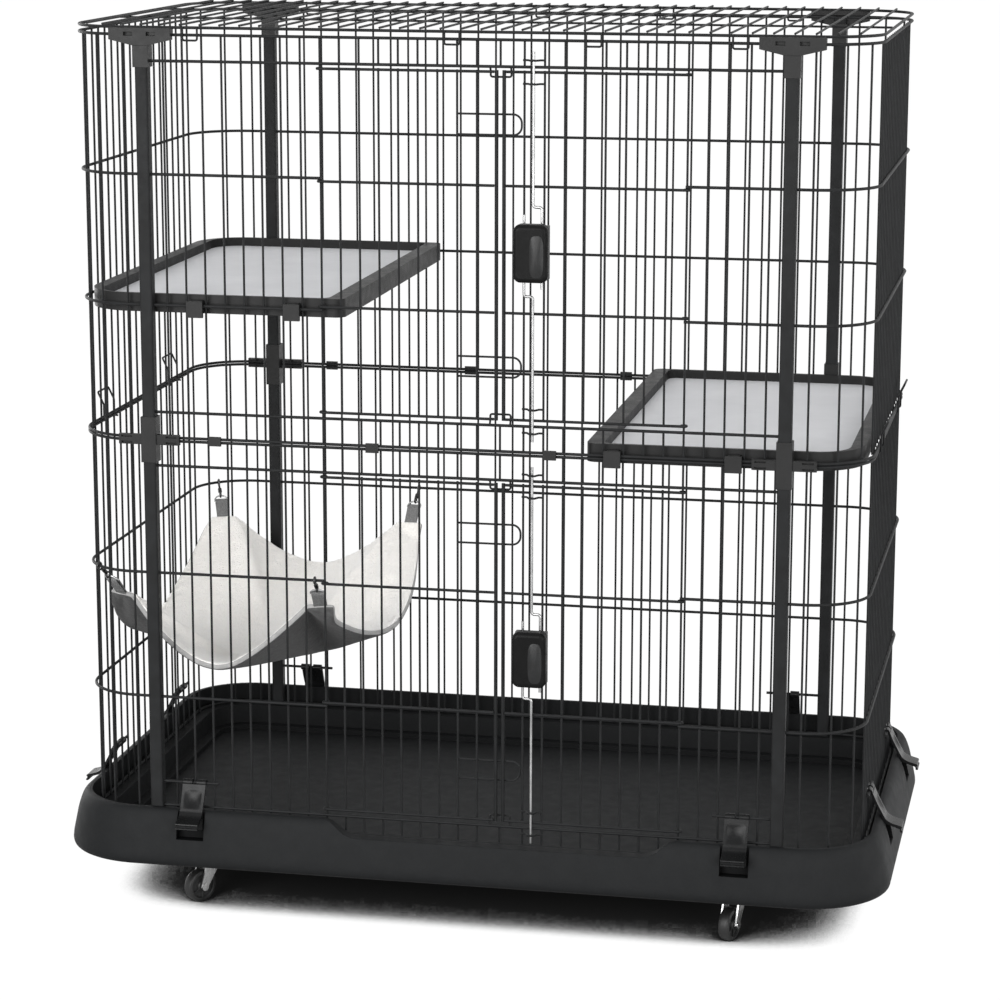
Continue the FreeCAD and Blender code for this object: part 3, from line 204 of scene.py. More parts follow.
# Tray clips: their side view in millimetres out from and up from the wire that each hangs on
CLIP_HALF_WIDTH = 13.0
CLIP_SLICES = 26
CLIP_FACE = ((4.4, -0.8), (6.6, -6.0), (10.2, -13.5), (14.2, -21.0), (17.0, -26.0), (19.6, -30.0),
             (24.5, -33.2), (30.5, -35.2), (35.0, -36.4), (36.9, -37.2))
CLIP_LIP = ((37.3, -38.3), (36.3, -39.2), (36.3, -41.2), (37.8, -42.0), (38.0, -43.2), (37.0, -43.8))
CLIP_BACK = ((35.2, -43.6), (34.6, -40.2), (30.0, -38.4), (24.0, -36.4), (17.4, -34.6), (17.4, -49.2),
             (16.6, -50.0), (15.2, -50.0), (14.4, -49.2), (14.4, -30.0), (14.2, -25.4), (11.0, -20.6),
             (7.2, -13.6), (3.9, -6.4), (1.9, -1.6))
CLIP_FACE_STEPS = 5
CLIP_FLARE = 0.0009
CLIP_FLARE_MIDDLE = -22.0
DISH_DEPTH = 1.9
DISH_HALF_WIDTH = 10.0
DISH_MIDDLE = -15.5
DISH_HALF_HEIGHT = 9.5
CLIP_HOOK_OUTER = 3.86
CLIP_HOOK_INNER = 1.8
CLIP_NOTCH_HALF = 2.4
CLIP_HOOK_FROM = -30.0
CLIP_HOOK_TO = 225.0
CLIP_HOOK_STEPS = 16

# Latch knob grips
GRIP_OFFSET = (0.0070, -0.0027)
GRIP_HALF_WIDTH = 0.0075
GRIP_HALF_HEIGHT = 0.022
GRIP_HEIGHT = 0.0020
GRIP_SINK = 0.0008
GRIP_SQUARENESS = 3.5
GRIP_SIDES = 40
GRIP_STEPS = 12


# Helpers for meshes

def add_object(name, mesh):
    """Links a mesh to the scene under a name."""
    piece = bpy.data.objects.new(name, mesh)
    bpy.context.scene.collection.objects.link(piece)
    return piece


def mesh_from(name, make):
    """A mesh whose geometry a function puts into an empty bmesh."""
    shape = bmesh.new()
    make(shape)
    bmesh.ops.recalc_face_normals(shape, faces=shape.faces[:])
    mesh = bpy.data.meshes.new(name)
    shape.to_mesh(mesh)
    shape.free()
    return mesh


def smooth(mesh, angle=SHARP_ANGLE):
    """Smooth shading, but sharp where faces meet at more than an angle in degrees."""
    mesh.shade_smooth()
    mesh.set_sharp_from_angle(angle=math.radians(angle))


def new_piece(name, make, slot, body, angle=SHARP_ANGLE, material=None):
    """A mesh piece that rides on a body, in its slot's finish or another."""
    mesh = mesh_from(name, make)
    mesh.materials.append(material or MATERIALS[slot])
    smooth(mesh, angle)
    piece = add_object(name, mesh)
    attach(piece, body)
    return piece


def loft(shape, rows):
    """Faces between rows of places that each go round the piece once, with both ends closed."""
    rings = [[shape.verts.new(place) for place in row] for row in rows]
    count = len(rings[0])
    for first, second in zip(rings, rings[1:]):
        for k in range(count):
            shape.faces.new((first[k - 1], first[k], second[k], second[k - 1]))
    shape.faces.new(rings[0])
    shape.faces.new(rings[-1][::-1])


def tube(shape, points, radius, sides=10, closed=False):
    """A round tube along points, with its end discs unless it closes on itself."""
    count = len(points)
    rings = []
    side = None
    for i, point in enumerate(points):
        before = points[(i - 1) % count] if closed or i else point
        after = points[(i + 1) % count] if closed or i < count - 1 else point
        ahead = (after - before).normalized()
        if side is None:
            side = ahead.orthogonal().normalized()
        side = (side - ahead * side.dot(ahead)).normalized()
        other = ahead.cross(side)
        ring = []
        for k in range(sides):
            angle = 2 * math.pi * k / sides
            outward = side * math.cos(angle) + other * math.sin(angle)
            ring.append(shape.verts.new(point + radius * outward))
        rings.append(ring)
    pairs = list(zip(rings, rings[1:]))
    if closed:
        pairs.append((rings[-1], rings[0]))
    for first, second in pairs:
        for k in range(sides):
            shape.faces.new((first[k], first[k - 1], second[k - 1], second[k]))
    if not closed:
        shape.faces.new(rings[0])
        shape.faces.new(rings[-1][::-1])


def lathe(shape, profile, steps=40):
    """A closed profile of (along, out) points turned about the local X axis."""
    rings = []
    for step in range(steps):
        angle = 2 * math.pi * step / steps
        turn = Matrix.Rotation(angle, 3, "X")
        rings.append([shape.verts.new(turn @ Vector((along, 0, out))) for along, out in profile])
    for first, second in zip(rings, rings[1:] + rings[:1]):
        for k in range(len(profile)):
            shape.faces.new((first[k - 1], first[k], second[k], second[k - 1]))


def curve_through(points, steps):
    """A smooth line through points, with a number of steps between each two."""
    points = [Vector(point) for point in points]
    line = []
    for i in range(len(points) - 1):
        before, after = points[max(i - 1, 0)], points[min(i + 2, len(points) - 1)]
        start, stop = points[i], points[i + 1]
        for step in range(steps):
            t = step / steps
            leave, arrive = (stop - before) / 2, (after - start) / 2
            place = start * (2 * t**3 - 3 * t**2 + 1) + stop * (3 * t**2 - 2 * t**3)
            line.append(place + leave * (t**3 - 2 * t**2 + t) + arrive * (t**3 - t**2))
    return line + [points[-1]]


# Materials

class Surface:
    """A node material on one Principled shader, with helpers for its patterns."""

    def __init__(self, name, **sockets):
        self.material = bpy.data.materials.new(name)
        self.material.use_nodes = True
        self.nodes = self.material.node_tree.nodes
        self.links = self.material.node_tree.links
        self.shader = self.nodes["Principled BSDF"]
        for socket, value in sockets.items():
            self.shader.inputs[socket.replace("_", " ")].default_value = value
        self.place = self.nodes.new("ShaderNodeTexCoord").outputs["Object"]
        self.normal = None

    def noise(self, scale, detail=3.0, stretch=None):
        """Noise with about scale features in a metre, stretched along axes if asked."""
        place = self.place
        if stretch:
            mapping = self.nodes.new("ShaderNodeMapping")
            mapping.inputs["Scale"].default_value = stretch
            self.links.new(place, mapping.inputs["Vector"])
            place = mapping.outputs["Vector"]
        node = self.nodes.new("ShaderNodeTexNoise")
        node.inputs["Scale"].default_value = scale
        node.inputs["Detail"].default_value = detail
        self.links.new(place, node.inputs["Vector"])
        return node.outputs["Fac"]

    def cells(self, scale):
        """Distance to the nearest of about scale random points in a metre."""
        node = self.nodes.new("ShaderNodeTexVoronoi")
        node.inputs["Scale"].default_value = scale
        self.links.new(self.place, node.inputs["Vector"])
        return node.outputs["Distance"]

    def colours(self, pattern, dark, light):
        """The base colour, from dark to light by a pattern."""
        node = self.nodes.new("ShaderNodeValToRGB")
        node.color_ramp.elements[0].position = PATTERN_LOW
        node.color_ramp.elements[0].color = (*dark, 1)
        node.color_ramp.elements[1].position = PATTERN_HIGH
        node.color_ramp.elements[1].color = (*light, 1)
        self.links.new(pattern, node.inputs["Fac"])
        self.links.new(node.outputs["Color"], self.shader.inputs["Base Color"])

    def roughness(self, pattern, low, high):
        """Roughness between two values by a pattern."""
        node = self.nodes.new("ShaderNodeMapRange")
        node.inputs["From Min"].default_value = PATTERN_LOW
        node.inputs["From Max"].default_value = PATTERN_HIGH
        node.inputs["To Min"].default_value = low
        node.inputs["To Max"].default_value = high
        self.links.new(pattern, node.inputs["Value"])
        self.links.new(node.outputs["Result"], self.shader.inputs["Roughness"])

    def painted_hollow_shade(self, reach):
        """Painted shade: a base colour that falls where other walls stand closer than a reach in metres.
        """
        node = self.nodes.new("ShaderNodeAmbientOcclusion")
        node.samples = PAINTED_SHADE_SAMPLES
        node.inputs["Distance"].default_value = reach
        base = self.shader.inputs["Base Color"]
        self.links.new(base.links[0].from_socket, node.inputs["Color"])
        self.links.new(node.outputs["Color"], base)

    def round_edges(self, radius):
        """Moulded edges that catch the light."""
        node = self.nodes.new("ShaderNodeBevel")
        node.samples = EDGE_SAMPLES
        node.inputs["Radius"].default_value = radius
        self.normal = node.outputs["Normal"]

    def relief(self, *layers):
        """Bumps from patterns, each with its height in metres."""
        for pattern, height in layers:
            node = self.nodes.new("ShaderNodeBump")
            node.inputs["Distance"].default_value = height
            self.links.new(pattern, node.inputs["Height"])
            if self.normal:
                self.links.new(self.normal, node.inputs["Normal"])
            self.normal = node.outputs["Normal"]
        self.links.new(self.normal, self.shader.inputs["Normal"])


def grey(level, warm=0.0):
    """A near-neutral colour at a linear level."""
    return (level * (1 + warm), level, level * (1 - warm))


def wire_paint():
    made = Surface("wire_paint", Specular_IOR_Level=0.09)
    made.colours(made.noise(60, 4), grey(0.011, -0.02), grey(0.016, -0.04))
    made.roughness(made.noise(240), 0.42, 0.56)
    made.relief((made.noise(1800, 2), 0.00012))
    return made.material


def tray_plastic():
    made = Surface("tray_plastic", Specular_IOR_Level=0.08)
    made.colours(made.noise(300, 4), grey(0.0105, -0.05), grey(0.0120, -0.05))
    made.roughness(made.noise(70, 4), 0.55, 0.64)
    # painted shade: the tray's base colour darkens in its hollows and crevices
    made.painted_hollow_shade(TRAY_PAINTED_SHADE)
    made.round_edges(0.0012)
    made.relief((made.noise(2600, 2), 0.00010))
    return made.material


def dark_plastic():
    made = Surface("dark_plastic", Specular_IOR_Level=0.15)
    made.colours(made.noise(30, 4), grey(0.012), grey(0.017))
    made.roughness(made.noise(120), 0.36, 0.48)
    made.round_edges(0.0006)
    made.relief((made.noise(2400, 2), 0.00008))
    return made.material


def clip_plastic():
    made = Surface("clip_plastic", Specular_IOR_Level=0.12)
    made.colours(made.noise(40, 4), grey(0.006, -0.03), grey(0.009, -0.03))
    made.roughness(made.noise(150), 0.22, 0.32)
    made.round_edges(0.0005)
    made.relief((made.noise(2000, 2), 0.00005))
    return made.material


def knob_plastic():
    made = Surface("knob_plastic", Specular_IOR_Level=0.07)
    made.colours(made.noise(50, 4), grey(0.004), grey(0.006))
    made.roughness(made.noise(160), 0.34, 0.46)
    made.relief((made.noise(2200, 2), 0.00005))
    return made.material


# A lighter, glossier copy of the knob's black plastic: a painted highlight on the grip
def painted_highlight_grip():
    made = Surface("painted_highlight_grip", Specular_IOR_Level=0.18)
    made.colours(made.noise(70, 4), grey(0.012), grey(0.017, -0.03))
    made.roughness(made.noise(180), 0.30, 0.42)
    made.relief((made.noise(2200, 2), 0.00005))
    return made.material


def chrome():
    made = Surface("chrome", Metallic=1.0)
    made.colours(made.noise(50, 3), grey(0.25), grey(0.36))
    made.roughness(made.noise(400, 3, (1, 1, 0.08)), 0.26, 0.38)
    made.relief((made.noise(1500, 2, (1, 1, 0.1)), 0.00003))
    return made.material


def steel():
    made = Surface("steel", Metallic=1.0)
    made.colours(made.noise(80, 4), grey(0.36), grey(0.48))
    made.roughness(made.noise(600, 3, (1, 1, 0.15)), 0.22, 0.38)
    made.relief((made.noise(2500, 2), 0.00004))
    return made.material


def dark_steel():
    made = Surface("dark_steel", Metallic=1.0)
    made.colours(made.noise(90, 4), grey(0.035), grey(0.065))
    made.roughness(made.noise(500, 3), 0.28, 0.44)
    made.relief((made.noise(2500, 2), 0.00004))
    return made.material


def wheel_rubber():
    made = Surface("wheel", Specular_IOR_Level=0.3)
    made.colours(made.noise(150, 4), grey(0.008), grey(0.015))
    made.roughness(made.noise(300), 0.40, 0.58)
    made.relief((made.noise(1600, 3), 0.00015))
    return made.material


def shelf_rim():
    made = Surface("shelf_rim", Specular_IOR_Level=0.14)
    made.colours(made.noise(20, 4), grey(0.010), grey(0.014))
    made.roughness(made.noise(90), 0.40, 0.52)
    made.round_edges(0.0008)
    made.relief((made.noise(2400, 2), 0.00010))
    return made.material


def shelf_board():
    made = Surface("shelf_board", Specular_IOR_Level=0.3)
    made.colours(made.noise(14, 5), (0.645, 0.65, 0.67), (0.695, 0.70, 0.72))
    made.roughness(made.noise(60, 4), 0.50, 0.64)
    made.relief((made.noise(900, 3), 0.00020), (made.noise(12, 2), 0.0006))
    return made.material


def fleece():
    made = Surface("fleece", Roughness=1.0, Sheen_Weight=1.0, Sheen_Roughness=0.5, Specular_IOR_Level=0.1)
    made.colours(made.noise(260, 6), (0.945, 0.915, 0.875), (0.985, 0.96, 0.92))
    made.relief((made.noise(700, 6), 0.0012), (made.cells(520), 0.0008))
    return made.material


def lining():
    made = Surface("lining", Roughness=0.9, Sheen_Weight=0.12, Specular_IOR_Level=0.15)
    made.colours(made.noise(220, 5), grey(0.065), grey(0.105))
    made.relief((made.noise(900, 3), 0.0006), (made.noise(90, 3), 0.0010))
    return made.material


def hem():
    made = Surface("hem", Roughness=0.95, Sheen_Weight=0.5, Specular_IOR_Level=0.2)
    made.colours(made.noise(240, 5), grey(0.30, 0.01), grey(0.37, 0.01))
    made.relief((made.noise(900, 4), 0.0008))
    return made.material


def webbing():
    made = Surface("webbing", Roughness=0.85, Specular_IOR_Level=0.2)
    made.colours(made.noise(700, 3), grey(0.14), grey(0.24))
    made.relief((made.cells(1400), 0.0005))
    return made.material


MATERIALS = {
    "wire_paint": wire_paint(),
    "tray_plastic": tray_plastic(),
    "dark_plastic": dark_plastic(),
    "clip_plastic": clip_plastic(),
    "knob_plastic": knob_plastic(),
    "chrome": chrome(),
    "steel": steel(),
    "wheel": wheel_rubber(),
    "shelf_rim": shelf_rim(),
    "shelf_board": shelf_board(),
    "fleece": fleece(),
    "webbing": webbing(),
}
LINING = lining()
HEM = hem()
DARK_STEEL = dark_steel()
PAINTED_HIGHLIGHT_GRIP = painted_highlight_grip()


def dress_nodes():
    """Gives every CAD node its slot's finish and smooth round faces."""
    slots = {row["node"]: row["material_slot"] for row in frame["record"]["subparts"]}
    for name, node in frame["nodes"].items():
        node.data.materials.clear()
        node.data.materials.append(MATERIALS[slots[name]])
        smooth(node.data)


# Hammock

def hammock_corner(side, end):
    """A corner's hanging place on the ring and the level direction in towards the cloth."""
    lean = math.radians(LEFT_LEAN if side < 0 else RIGHT_LEAN)
    inward = Vector((-side * math.sin(lean), -end * math.cos(lean), 0))
    if side < 0:
        return Vector((LEFT_ANCHOR[0], end * LEFT_ANCHOR[1], RING_HEIGHT)), inward
    return Vector((*RIGHT_ANCHORS[end], RING_HEIGHT)), inward


def chain_place(anchor, inward, along):
    """A place down the slanting chain from the ring to a cloth corner."""
    slope = math.radians(CHAIN_SLOPE)
    start = anchor + (inward - UP) * HOOK_HALF
    return start + along * (inward * math.cos(slope) - UP * math.sin(slope))


CORNERS = {(side, end): hammock_corner(side, end) for side in (-1, 1) for end in (-1, 1)}


def hang(share):
    """Nought at both ends of an edge and one at its middle."""
    return 1 - (2 * share - 1) ** 2


def blunt_corner(side, end):
    """The left and right end of the short straight edge that a corner's webbing is sewn to."""
    anchor, inward = CORNERS[(side, end)]
    sewn = chain_place(anchor, inward, CHAIN_LENGTH)
    half = Vector((abs(inward.y), inward.x * (1 if inward.y < 0 else -1), 0)) * CORNER_HALF
    return sewn - half, sewn + half


def end_place(across, end):
    """Where the front or back edge of the cloth hangs, by a share of the cut from the left."""
    left_tip, left_shoulder = blunt_corner(-1, end)
    right_shoulder, right_tip = blunt_corner(1, end)
    if across < CORNER_SHARE:
        return left_tip.lerp(left_shoulder, across / CORNER_SHARE)
    if across > 1 - CORNER_SHARE:
        return right_tip.lerp(right_shoulder, (1 - across) / CORNER_SHARE)
    share = (across - CORNER_SHARE) / (1 - 2 * CORNER_SHARE)
    pull = Vector((0, -end * EDGE_SCALLOP, -FRONT_SAG)) * hang(share)
    return left_shoulder.lerp(right_shoulder, share) + pull


def hung_place(across, along):
    """Where a point of the cloth hangs, by its shares of the cut from the left and from the front.

    The simulation takes only the places of the sewn corners from here.
    """
    front, back = end_place(across, -1), end_place(across, 1)
    sag = LEFT_SAG + (RIGHT_SAG - LEFT_SAG) * across
    sag += (CENTRE_SAG - (LEFT_SAG + RIGHT_SAG) / 2) * hang(across)
    middle_z = end_place(0, -1).z - sag
    place = front.lerp(back, along)
    place.x += RIGHT_BULGE * across**2 * hang(along)
    place.z += (middle_z - front.z) * hang(along)
    return place


def cut_place(across, along):
    """Where a point of the cloth lies in its flat cut, longest at the right and widest at the front."""
    length = LEFT_CUT + (RIGHT_CUT - LEFT_CUT) * across
    trim = 0.0
    if across < CORNER_SHARE:
        trim = 2 * CORNER_HALF * math.sin(math.radians(LEFT_LEAN)) * (1 - across / CORNER_SHARE)
    elif across > 1 - CORNER_SHARE:
        trim = 2 * CORNER_HALF * math.sin(math.radians(RIGHT_LEAN)) * (1 - (1 - across) / CORNER_SHARE)
    width = FRONT_CUT + (BACK_CUT - FRONT_CUT) * along
    return Vector(((across - 0.5) * width, (length - 2 * trim) * (along - 0.5), 0))


def cut_area():
    """The flat area inside the outline of the cloth's cut."""
    shares = [column / CLOTH_COLUMNS for column in range(CLOTH_COLUMNS + 1)]
    outline = [cut_place(share, 0) for share in shares]
    outline += [cut_place(share, 1) for share in reversed(shares)]
    return sum(a.x * b.y - a.y * b.x for a, b in zip(outline, outline[1:] + outline[:1])) / 2


def cloth_grid():
    """The cloth as a grid in its flat cut, with its hung places as a shape key."""
    verts, faces, hung, sewn = [], [], [], []
    ends = [place for corner in CORNERS for place in blunt_corner(*corner)]
    centre = sum(ends, Vector()) / len(ends)
    for row in range(CLOTH_ROWS + 1):
        for column in range(CLOTH_COLUMNS + 1):
            across, along = column / CLOTH_COLUMNS, row / CLOTH_ROWS
            if row in (0, CLOTH_ROWS) and min(across, 1 - across) <= CORNER_SHARE:
                sewn.append(len(verts))
            verts.append(cut_place(across, along) + centre)
            hung.append(hung_place(across, along))
    wide = CLOTH_COLUMNS + 1
    for row in range(CLOTH_ROWS):
        for column in range(CLOTH_COLUMNS):
            first = row * wide + column
            faces.append((first, first + 1, first + wide + 1, first + wide))
    mesh = bpy.data.meshes.new("hammock_grid")
    mesh.from_pydata(verts, [], faces)
    grid = add_object("hammock_grid", mesh)
    grid.shape_key_add(name="flat")
    key = grid.shape_key_add(name="hung")
    key.value = 1.0
    for point, place in zip(key.data, hung):
        point.co = place
    grid.vertex_groups.new(name="sewn").add(sewn, 1.0, "REPLACE")
    return grid, key


def simulate(grid, key):
    """Pulls the flat cloth's sewn corners to their places and lets it hang from them."""
    for step, share in ((1, 0.0), (PULL_FRAMES, 1.0)):
        key.value = share
        key.keyframe_insert("value", frame=step)
    modifier = grid.modifiers.new("hang", "CLOTH")
    settings = modifier.settings
    settings.quality = 10
    settings.mass = 0.08
    settings.tension_stiffness = 80
    settings.compression_stiffness = 60
    settings.shear_stiffness = 30
    settings.bending_stiffness = 6.0
    settings.tension_damping = 10
    settings.compression_damping = 10
    settings.shear_damping = 10
    settings.bending_damping = 2.0
    settings.air_damping = 2.0
    settings.vertex_group_mass = "sewn"
    modifier.collision_settings.use_collision = False
    modifier.point_cache.frame_start = 1
    modifier.point_cache.frame_end = CLOTH_FRAMES
    scene = bpy.context.scene
    for step in range(1, CLOTH_FRAMES + 1):
        scene.frame_set(step)


def applied(piece):
    """A mesh with all of a piece's modifiers worked in."""
    evaluated = piece.evaluated_get(bpy.context.evaluated_depsgraph_get())
    return bpy.data.meshes.new_from_object(evaluated)


def tufts(mesh):
    """Raises the fleece side of the cloth into small soft tufts."""
    top = set()
    for face in mesh.polygons:
        if face.material_index == 0:
            top.update(face.vertices)
    for face in mesh.polygons:
        if face.material_index != 0:
            top.difference_update(face.vertices)
    normals = [Vector(vert.normal) for vert in mesh.vertices]
    for index in top:
        vert = mesh.vertices[index]
        lift = sum(height * noise.noise(vert.co / size) for size, height in TUFT_SIZES)
        vert.co += normals[index] * lift


def hammock_cloth():
    """The simulated cloth: fleece on top, a grey lining below, padded between, with a hem."""
    grid, key = cloth_grid()
    simulate(grid, key)
    mesh = applied(grid)
    bpy.data.objects.remove(grid)
    mesh.materials.clear()
    mesh.materials.append(MATERIALS["fleece"])
    mesh.materials.append(LINING)
    mesh.materials.append(HEM)
    cloth = add_object("hammock_sheet", mesh)
    thick = cloth.modifiers.new("thick", "SOLIDIFY")
    thick.thickness = CLOTH_THICKNESS
    thick.offset = -1
    thick.material_offset = 1
    thick.material_offset_rim = 2
    refine = cloth.modifiers.new("refine", "SUBSURF")
    refine.levels = CLOTH_LEVELS
    refine.render_levels = CLOTH_LEVELS
    finished = applied(cloth)
    cloth.modifiers.clear()
    cloth.data = finished
    finished.name = "hammock_sheet"
    tufts(finished)
    finished.shade_smooth()
    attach(cloth, "cage")
    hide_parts("hammock_cloth")
    return cloth


def chain_frame(anchor, inward):
    """The direction down a chain, the level direction across it, and the direction off its face."""
    down = (chain_place(anchor, inward, 1) - chain_place(anchor, inward, 0)).normalized()
    across = inward.cross(UP)
    return down, across, across.cross(down)


def clasp(shape, anchor, inward):
    """A wire snap hook over the ring, its gate, its swivel barrel and the eye below."""
    reach = RING_RADIUS + CLASP_WIRE + CLASP_GAP
    down, _, lift = chain_frame(anchor, inward)
    hook = []
    for step in range(CLASP_STEPS + 1):
        angle = math.radians(CLASP_FROM - CLASP_TURN * step / CLASP_STEPS)
        hook.append(anchor + reach * (inward * math.cos(angle) + UP * math.sin(angle)))
    places = (CLASP_NECK, BARREL_START, BARREL_END, COLLAR_END, EYE_PLACE)
    neck, barrel, collar, end, eye = (chain_place(anchor, inward, along) for along in places)
    gate_middle = (hook[0] + barrel) / 2 - inward * CLASP_WIRE
    tube(shape, hook + [neck, barrel], CLASP_WIRE)
    tube(shape, [hook[0], gate_middle, barrel], GATE_WIRE)
    tube(shape, [barrel, collar], BARREL_RADIUS)
    tube(shape, [collar, end], COLLAR_RADIUS)
    loop = []
    for step in range(EYE_STEPS):
        angle = 2 * math.pi * step / EYE_STEPS
        loop.append(eye + EYE_RADIUS * (down * math.cos(angle) + lift * math.sin(angle)))
    tube(shape, loop, EYE_WIRE, closed=True)


def d_ring(shape, anchor, inward):
    """A D-shaped wire ring: an arc through the clasp's eye and a straight bar for the webbing."""
    down, across, _ = chain_frame(anchor, inward)
    bar = chain_place(anchor, inward, RING_PLACE)
    half = WEB_HALF_WIDTH + RING_WIRE
    points = [bar + across * half * share for share in RING_BAR_SHARES]
    for step in range(1, RING_STEPS):
        angle = math.pi * step / RING_STEPS
        points.append(bar + across * half * math.cos(angle) - down * RING_DEPTH * math.sin(angle))
    tube(shape, points, RING_WIRE, closed=True)


def webbing_tab(shape, anchor, inward):
    """Webbing folded round the ring's bar, with both ends sewn into the cloth's edge."""
    down, across, lift = chain_frame(anchor, inward)
    bar = chain_place(anchor, inward, RING_PLACE)
    far = chain_place(anchor, inward, CHAIN_LENGTH + WEB_TUCK) - lift * CLOTH_THICKNESS / 2 - bar
    bend = RING_WIRE + WEB_THICKNESS / 2 + WEB_LIFT
    spread = WEB_THICKNESS / 2 + WEB_LIFT
    line = []
    for share in reversed(WEB_SHARES):
        gap = bend + (spread - bend) * share
        line.append(bar + far * share + lift * gap)
    for step in range(1, WEB_FOLD_STEPS):
        angle = math.pi * step / WEB_FOLD_STEPS
        line.append(bar + bend * (lift * math.cos(angle) - down * math.sin(angle)))
    for share in WEB_SHARES:
        gap = bend + (spread - bend) * share
        line.append(bar + far * share - lift * gap)
    rows = []
    for i, point in enumerate(line):
        ahead = (line[min(i + 1, len(line) - 1)] - line[max(i - 1, 0)]).normalized()
        normal = ahead.cross(across).normalized() * (WEB_THICKNESS / 2)
        edge = across * WEB_HALF_WIDTH
        trim = across * (WEB_HALF_WIDTH - WEB_THICKNESS / 2)
        rows.append([point - edge, point - trim + normal, point + trim + normal,
                     point + edge, point + trim - normal, point - trim - normal])
    loft(shape, rows)


def hammock_hardware():
    """The clasps, rings and webbing at the four corners."""
    def at_corners(make):
        def fill(shape):
            for corner in CORNERS.values():
                make(shape, *corner)
        return fill

    clasps = new_piece("hammock_clasps", at_corners(clasp), "steel", "cage", HARDWARE_SHARP, DARK_STEEL)
    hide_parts("hammock_hooks")
    new_piece("hammock_rings", at_corners(d_ring), "steel", "cage", HARDWARE_SHARP)
    tabs = new_piece("hammock_webbing", at_corners(webbing_tab), "webbing", "cage", HARDWARE_SHARP)
    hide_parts("hammock_straps")


# Casters, tray clips and latch grips

def placed(make, matrix):
    """A mesh function whose result is moved to its place on the playpen."""
    def fill(shape):
        make(shape)
        bmesh.ops.transform(shape, matrix=matrix, verts=shape.verts[:])
    return fill


def wheel_mesh(shape):
    """A caster wheel about the local X axis: tread, rim, ribbed web and hub."""
    half, web = WHEEL_HALF_WIDTH, WHEEL_WEB_HALF
    right = [
        (half, WHEEL_BORE),
        (half, WHEEL_HUB - HUB_CHAMFER),
        (half - HUB_CHAMFER, WHEEL_HUB),
        (web, WHEEL_HUB + WHEEL_FILLET),
        (web, WHEEL_RIM - WHEEL_FILLET),
        (half - RIM_INSET, WHEEL_RIM),
        (half - WHEEL_FILLET, WHEEL_RIM + WHEEL_FILLET),
    ]
    right += [(half - inset, WHEEL_RADIUS - below) for inset, below in TYRE_EDGE]
    right.append((TREAD_HALF_WIDTH, WHEEL_RADIUS))
    left = [(-along, out) for along, out in reversed(right)]
    lathe(shape, right + left)
    rib_depth = half - RIB_INSET - web
    rib_middle = (WHEEL_HUB + WHEEL_RIM) / 2
    size = Matrix.Diagonal((rib_depth, RIB_WIDTH, WHEEL_RIM - WHEEL_HUB + RIB_OVERLAP, 1))
    for side in (-1, 1):
        place = Matrix.Translation((side * (web + rib_depth / 2), 0, rib_middle))
        for rib in range(WHEEL_RIBS):
            turn = Matrix.Rotation(2 * math.pi * rib / WHEEL_RIBS, 4, "X")
            made = bmesh.ops.create_cube(shape, size=1.0, matrix=turn @ place @ size)
            edges = {edge for vert in made["verts"] for edge in vert.link_edges}
            bmesh.ops.bevel(shape, geom=list(edges), offset=RIB_BEVEL, segments=1, affect="EDGES")


def wheel_frame(joint):
    """A wheel's place, with its local X axis along its axle."""
    turn = Vector(joint["axis"]).normalized().to_track_quat("X", "Z")
    return Matrix.Translation(joint["pos_m"]) @ turn.to_matrix().to_4x4()


def caster_wheels():
    """A detailed wheel on each caster's own axle line."""
    for joint in frame["joints"]:
        if not joint["name"].endswith("_roll"):
            continue
        body = joint["child"]
        make = placed(wheel_mesh, wheel_frame(joint))
        wheel = new_piece(body + "_tyre", make, "wheel", body, MOULDED_SHARP)
        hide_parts(body)


def clip_mesh(shape):
    """A tray clip: a dished plate with a thumb lip and a catch, and two half hooks beside a notch."""
    face = curve_through(CLIP_FACE, CLIP_FACE_STEPS)
    outline = [tuple(point) for point in face] + list(CLIP_LIP) + list(CLIP_BACK)

    def slice_at(x):
        row = []
        for index, (out, up) in enumerate(outline):
            wide = x * (1 + CLIP_FLARE * (up - CLIP_FLARE_MIDDLE))
            if index < len(face):
                level = max(0.0, 1 - (x / DISH_HALF_WIDTH) ** 2)
                out -= DISH_DEPTH * level * max(0.0, 1 - ((up - DISH_MIDDLE) / DISH_HALF_HEIGHT) ** 2)
            row.append(Vector((wide, out, up)) * MM)
        return row

    half = CLIP_HALF_WIDTH
    loft(shape, [slice_at(half * (2 * k / CLIP_SLICES - 1)) for k in range(CLIP_SLICES + 1)])
    shares = [step / CLIP_HOOK_STEPS for step in range(CLIP_HOOK_STEPS + 1)]
    arc = [math.radians(CLIP_HOOK_FROM + (CLIP_HOOK_TO - CLIP_HOOK_FROM) * share) for share in shares]
    ring = []
    for radius, angles in ((CLIP_HOOK_OUTER, arc), (CLIP_HOOK_INNER, arc[::-1])):
        ring += [(radius * math.cos(angle), radius * math.sin(angle)) for angle in angles]
    for side in (-1, 1):
        ends = (side * CLIP_NOTCH_HALF, side * half)
        loft(shape, [[Vector((x, out, up)) * MM for out, up in ring] for x in ends])


def tray_clips():
    """A dished clip on each of the short wires round the tray."""
    for joint in frame["joints"]:
        if not joint["child"].startswith("tray_clip"):
            continue
        body = joint["child"]
        axis = Vector(joint["axis"]).normalized()
        turn = Matrix((axis, UP.cross(axis), UP)).transposed().to_4x4()
        matrix = Matrix.Translation(joint["pos_m"]) @ turn
        make = placed(clip_mesh, matrix)
        clip = new_piece(body + "_plate", make, "clip_plastic", body, MOULDED_SHARP)
        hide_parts(body)


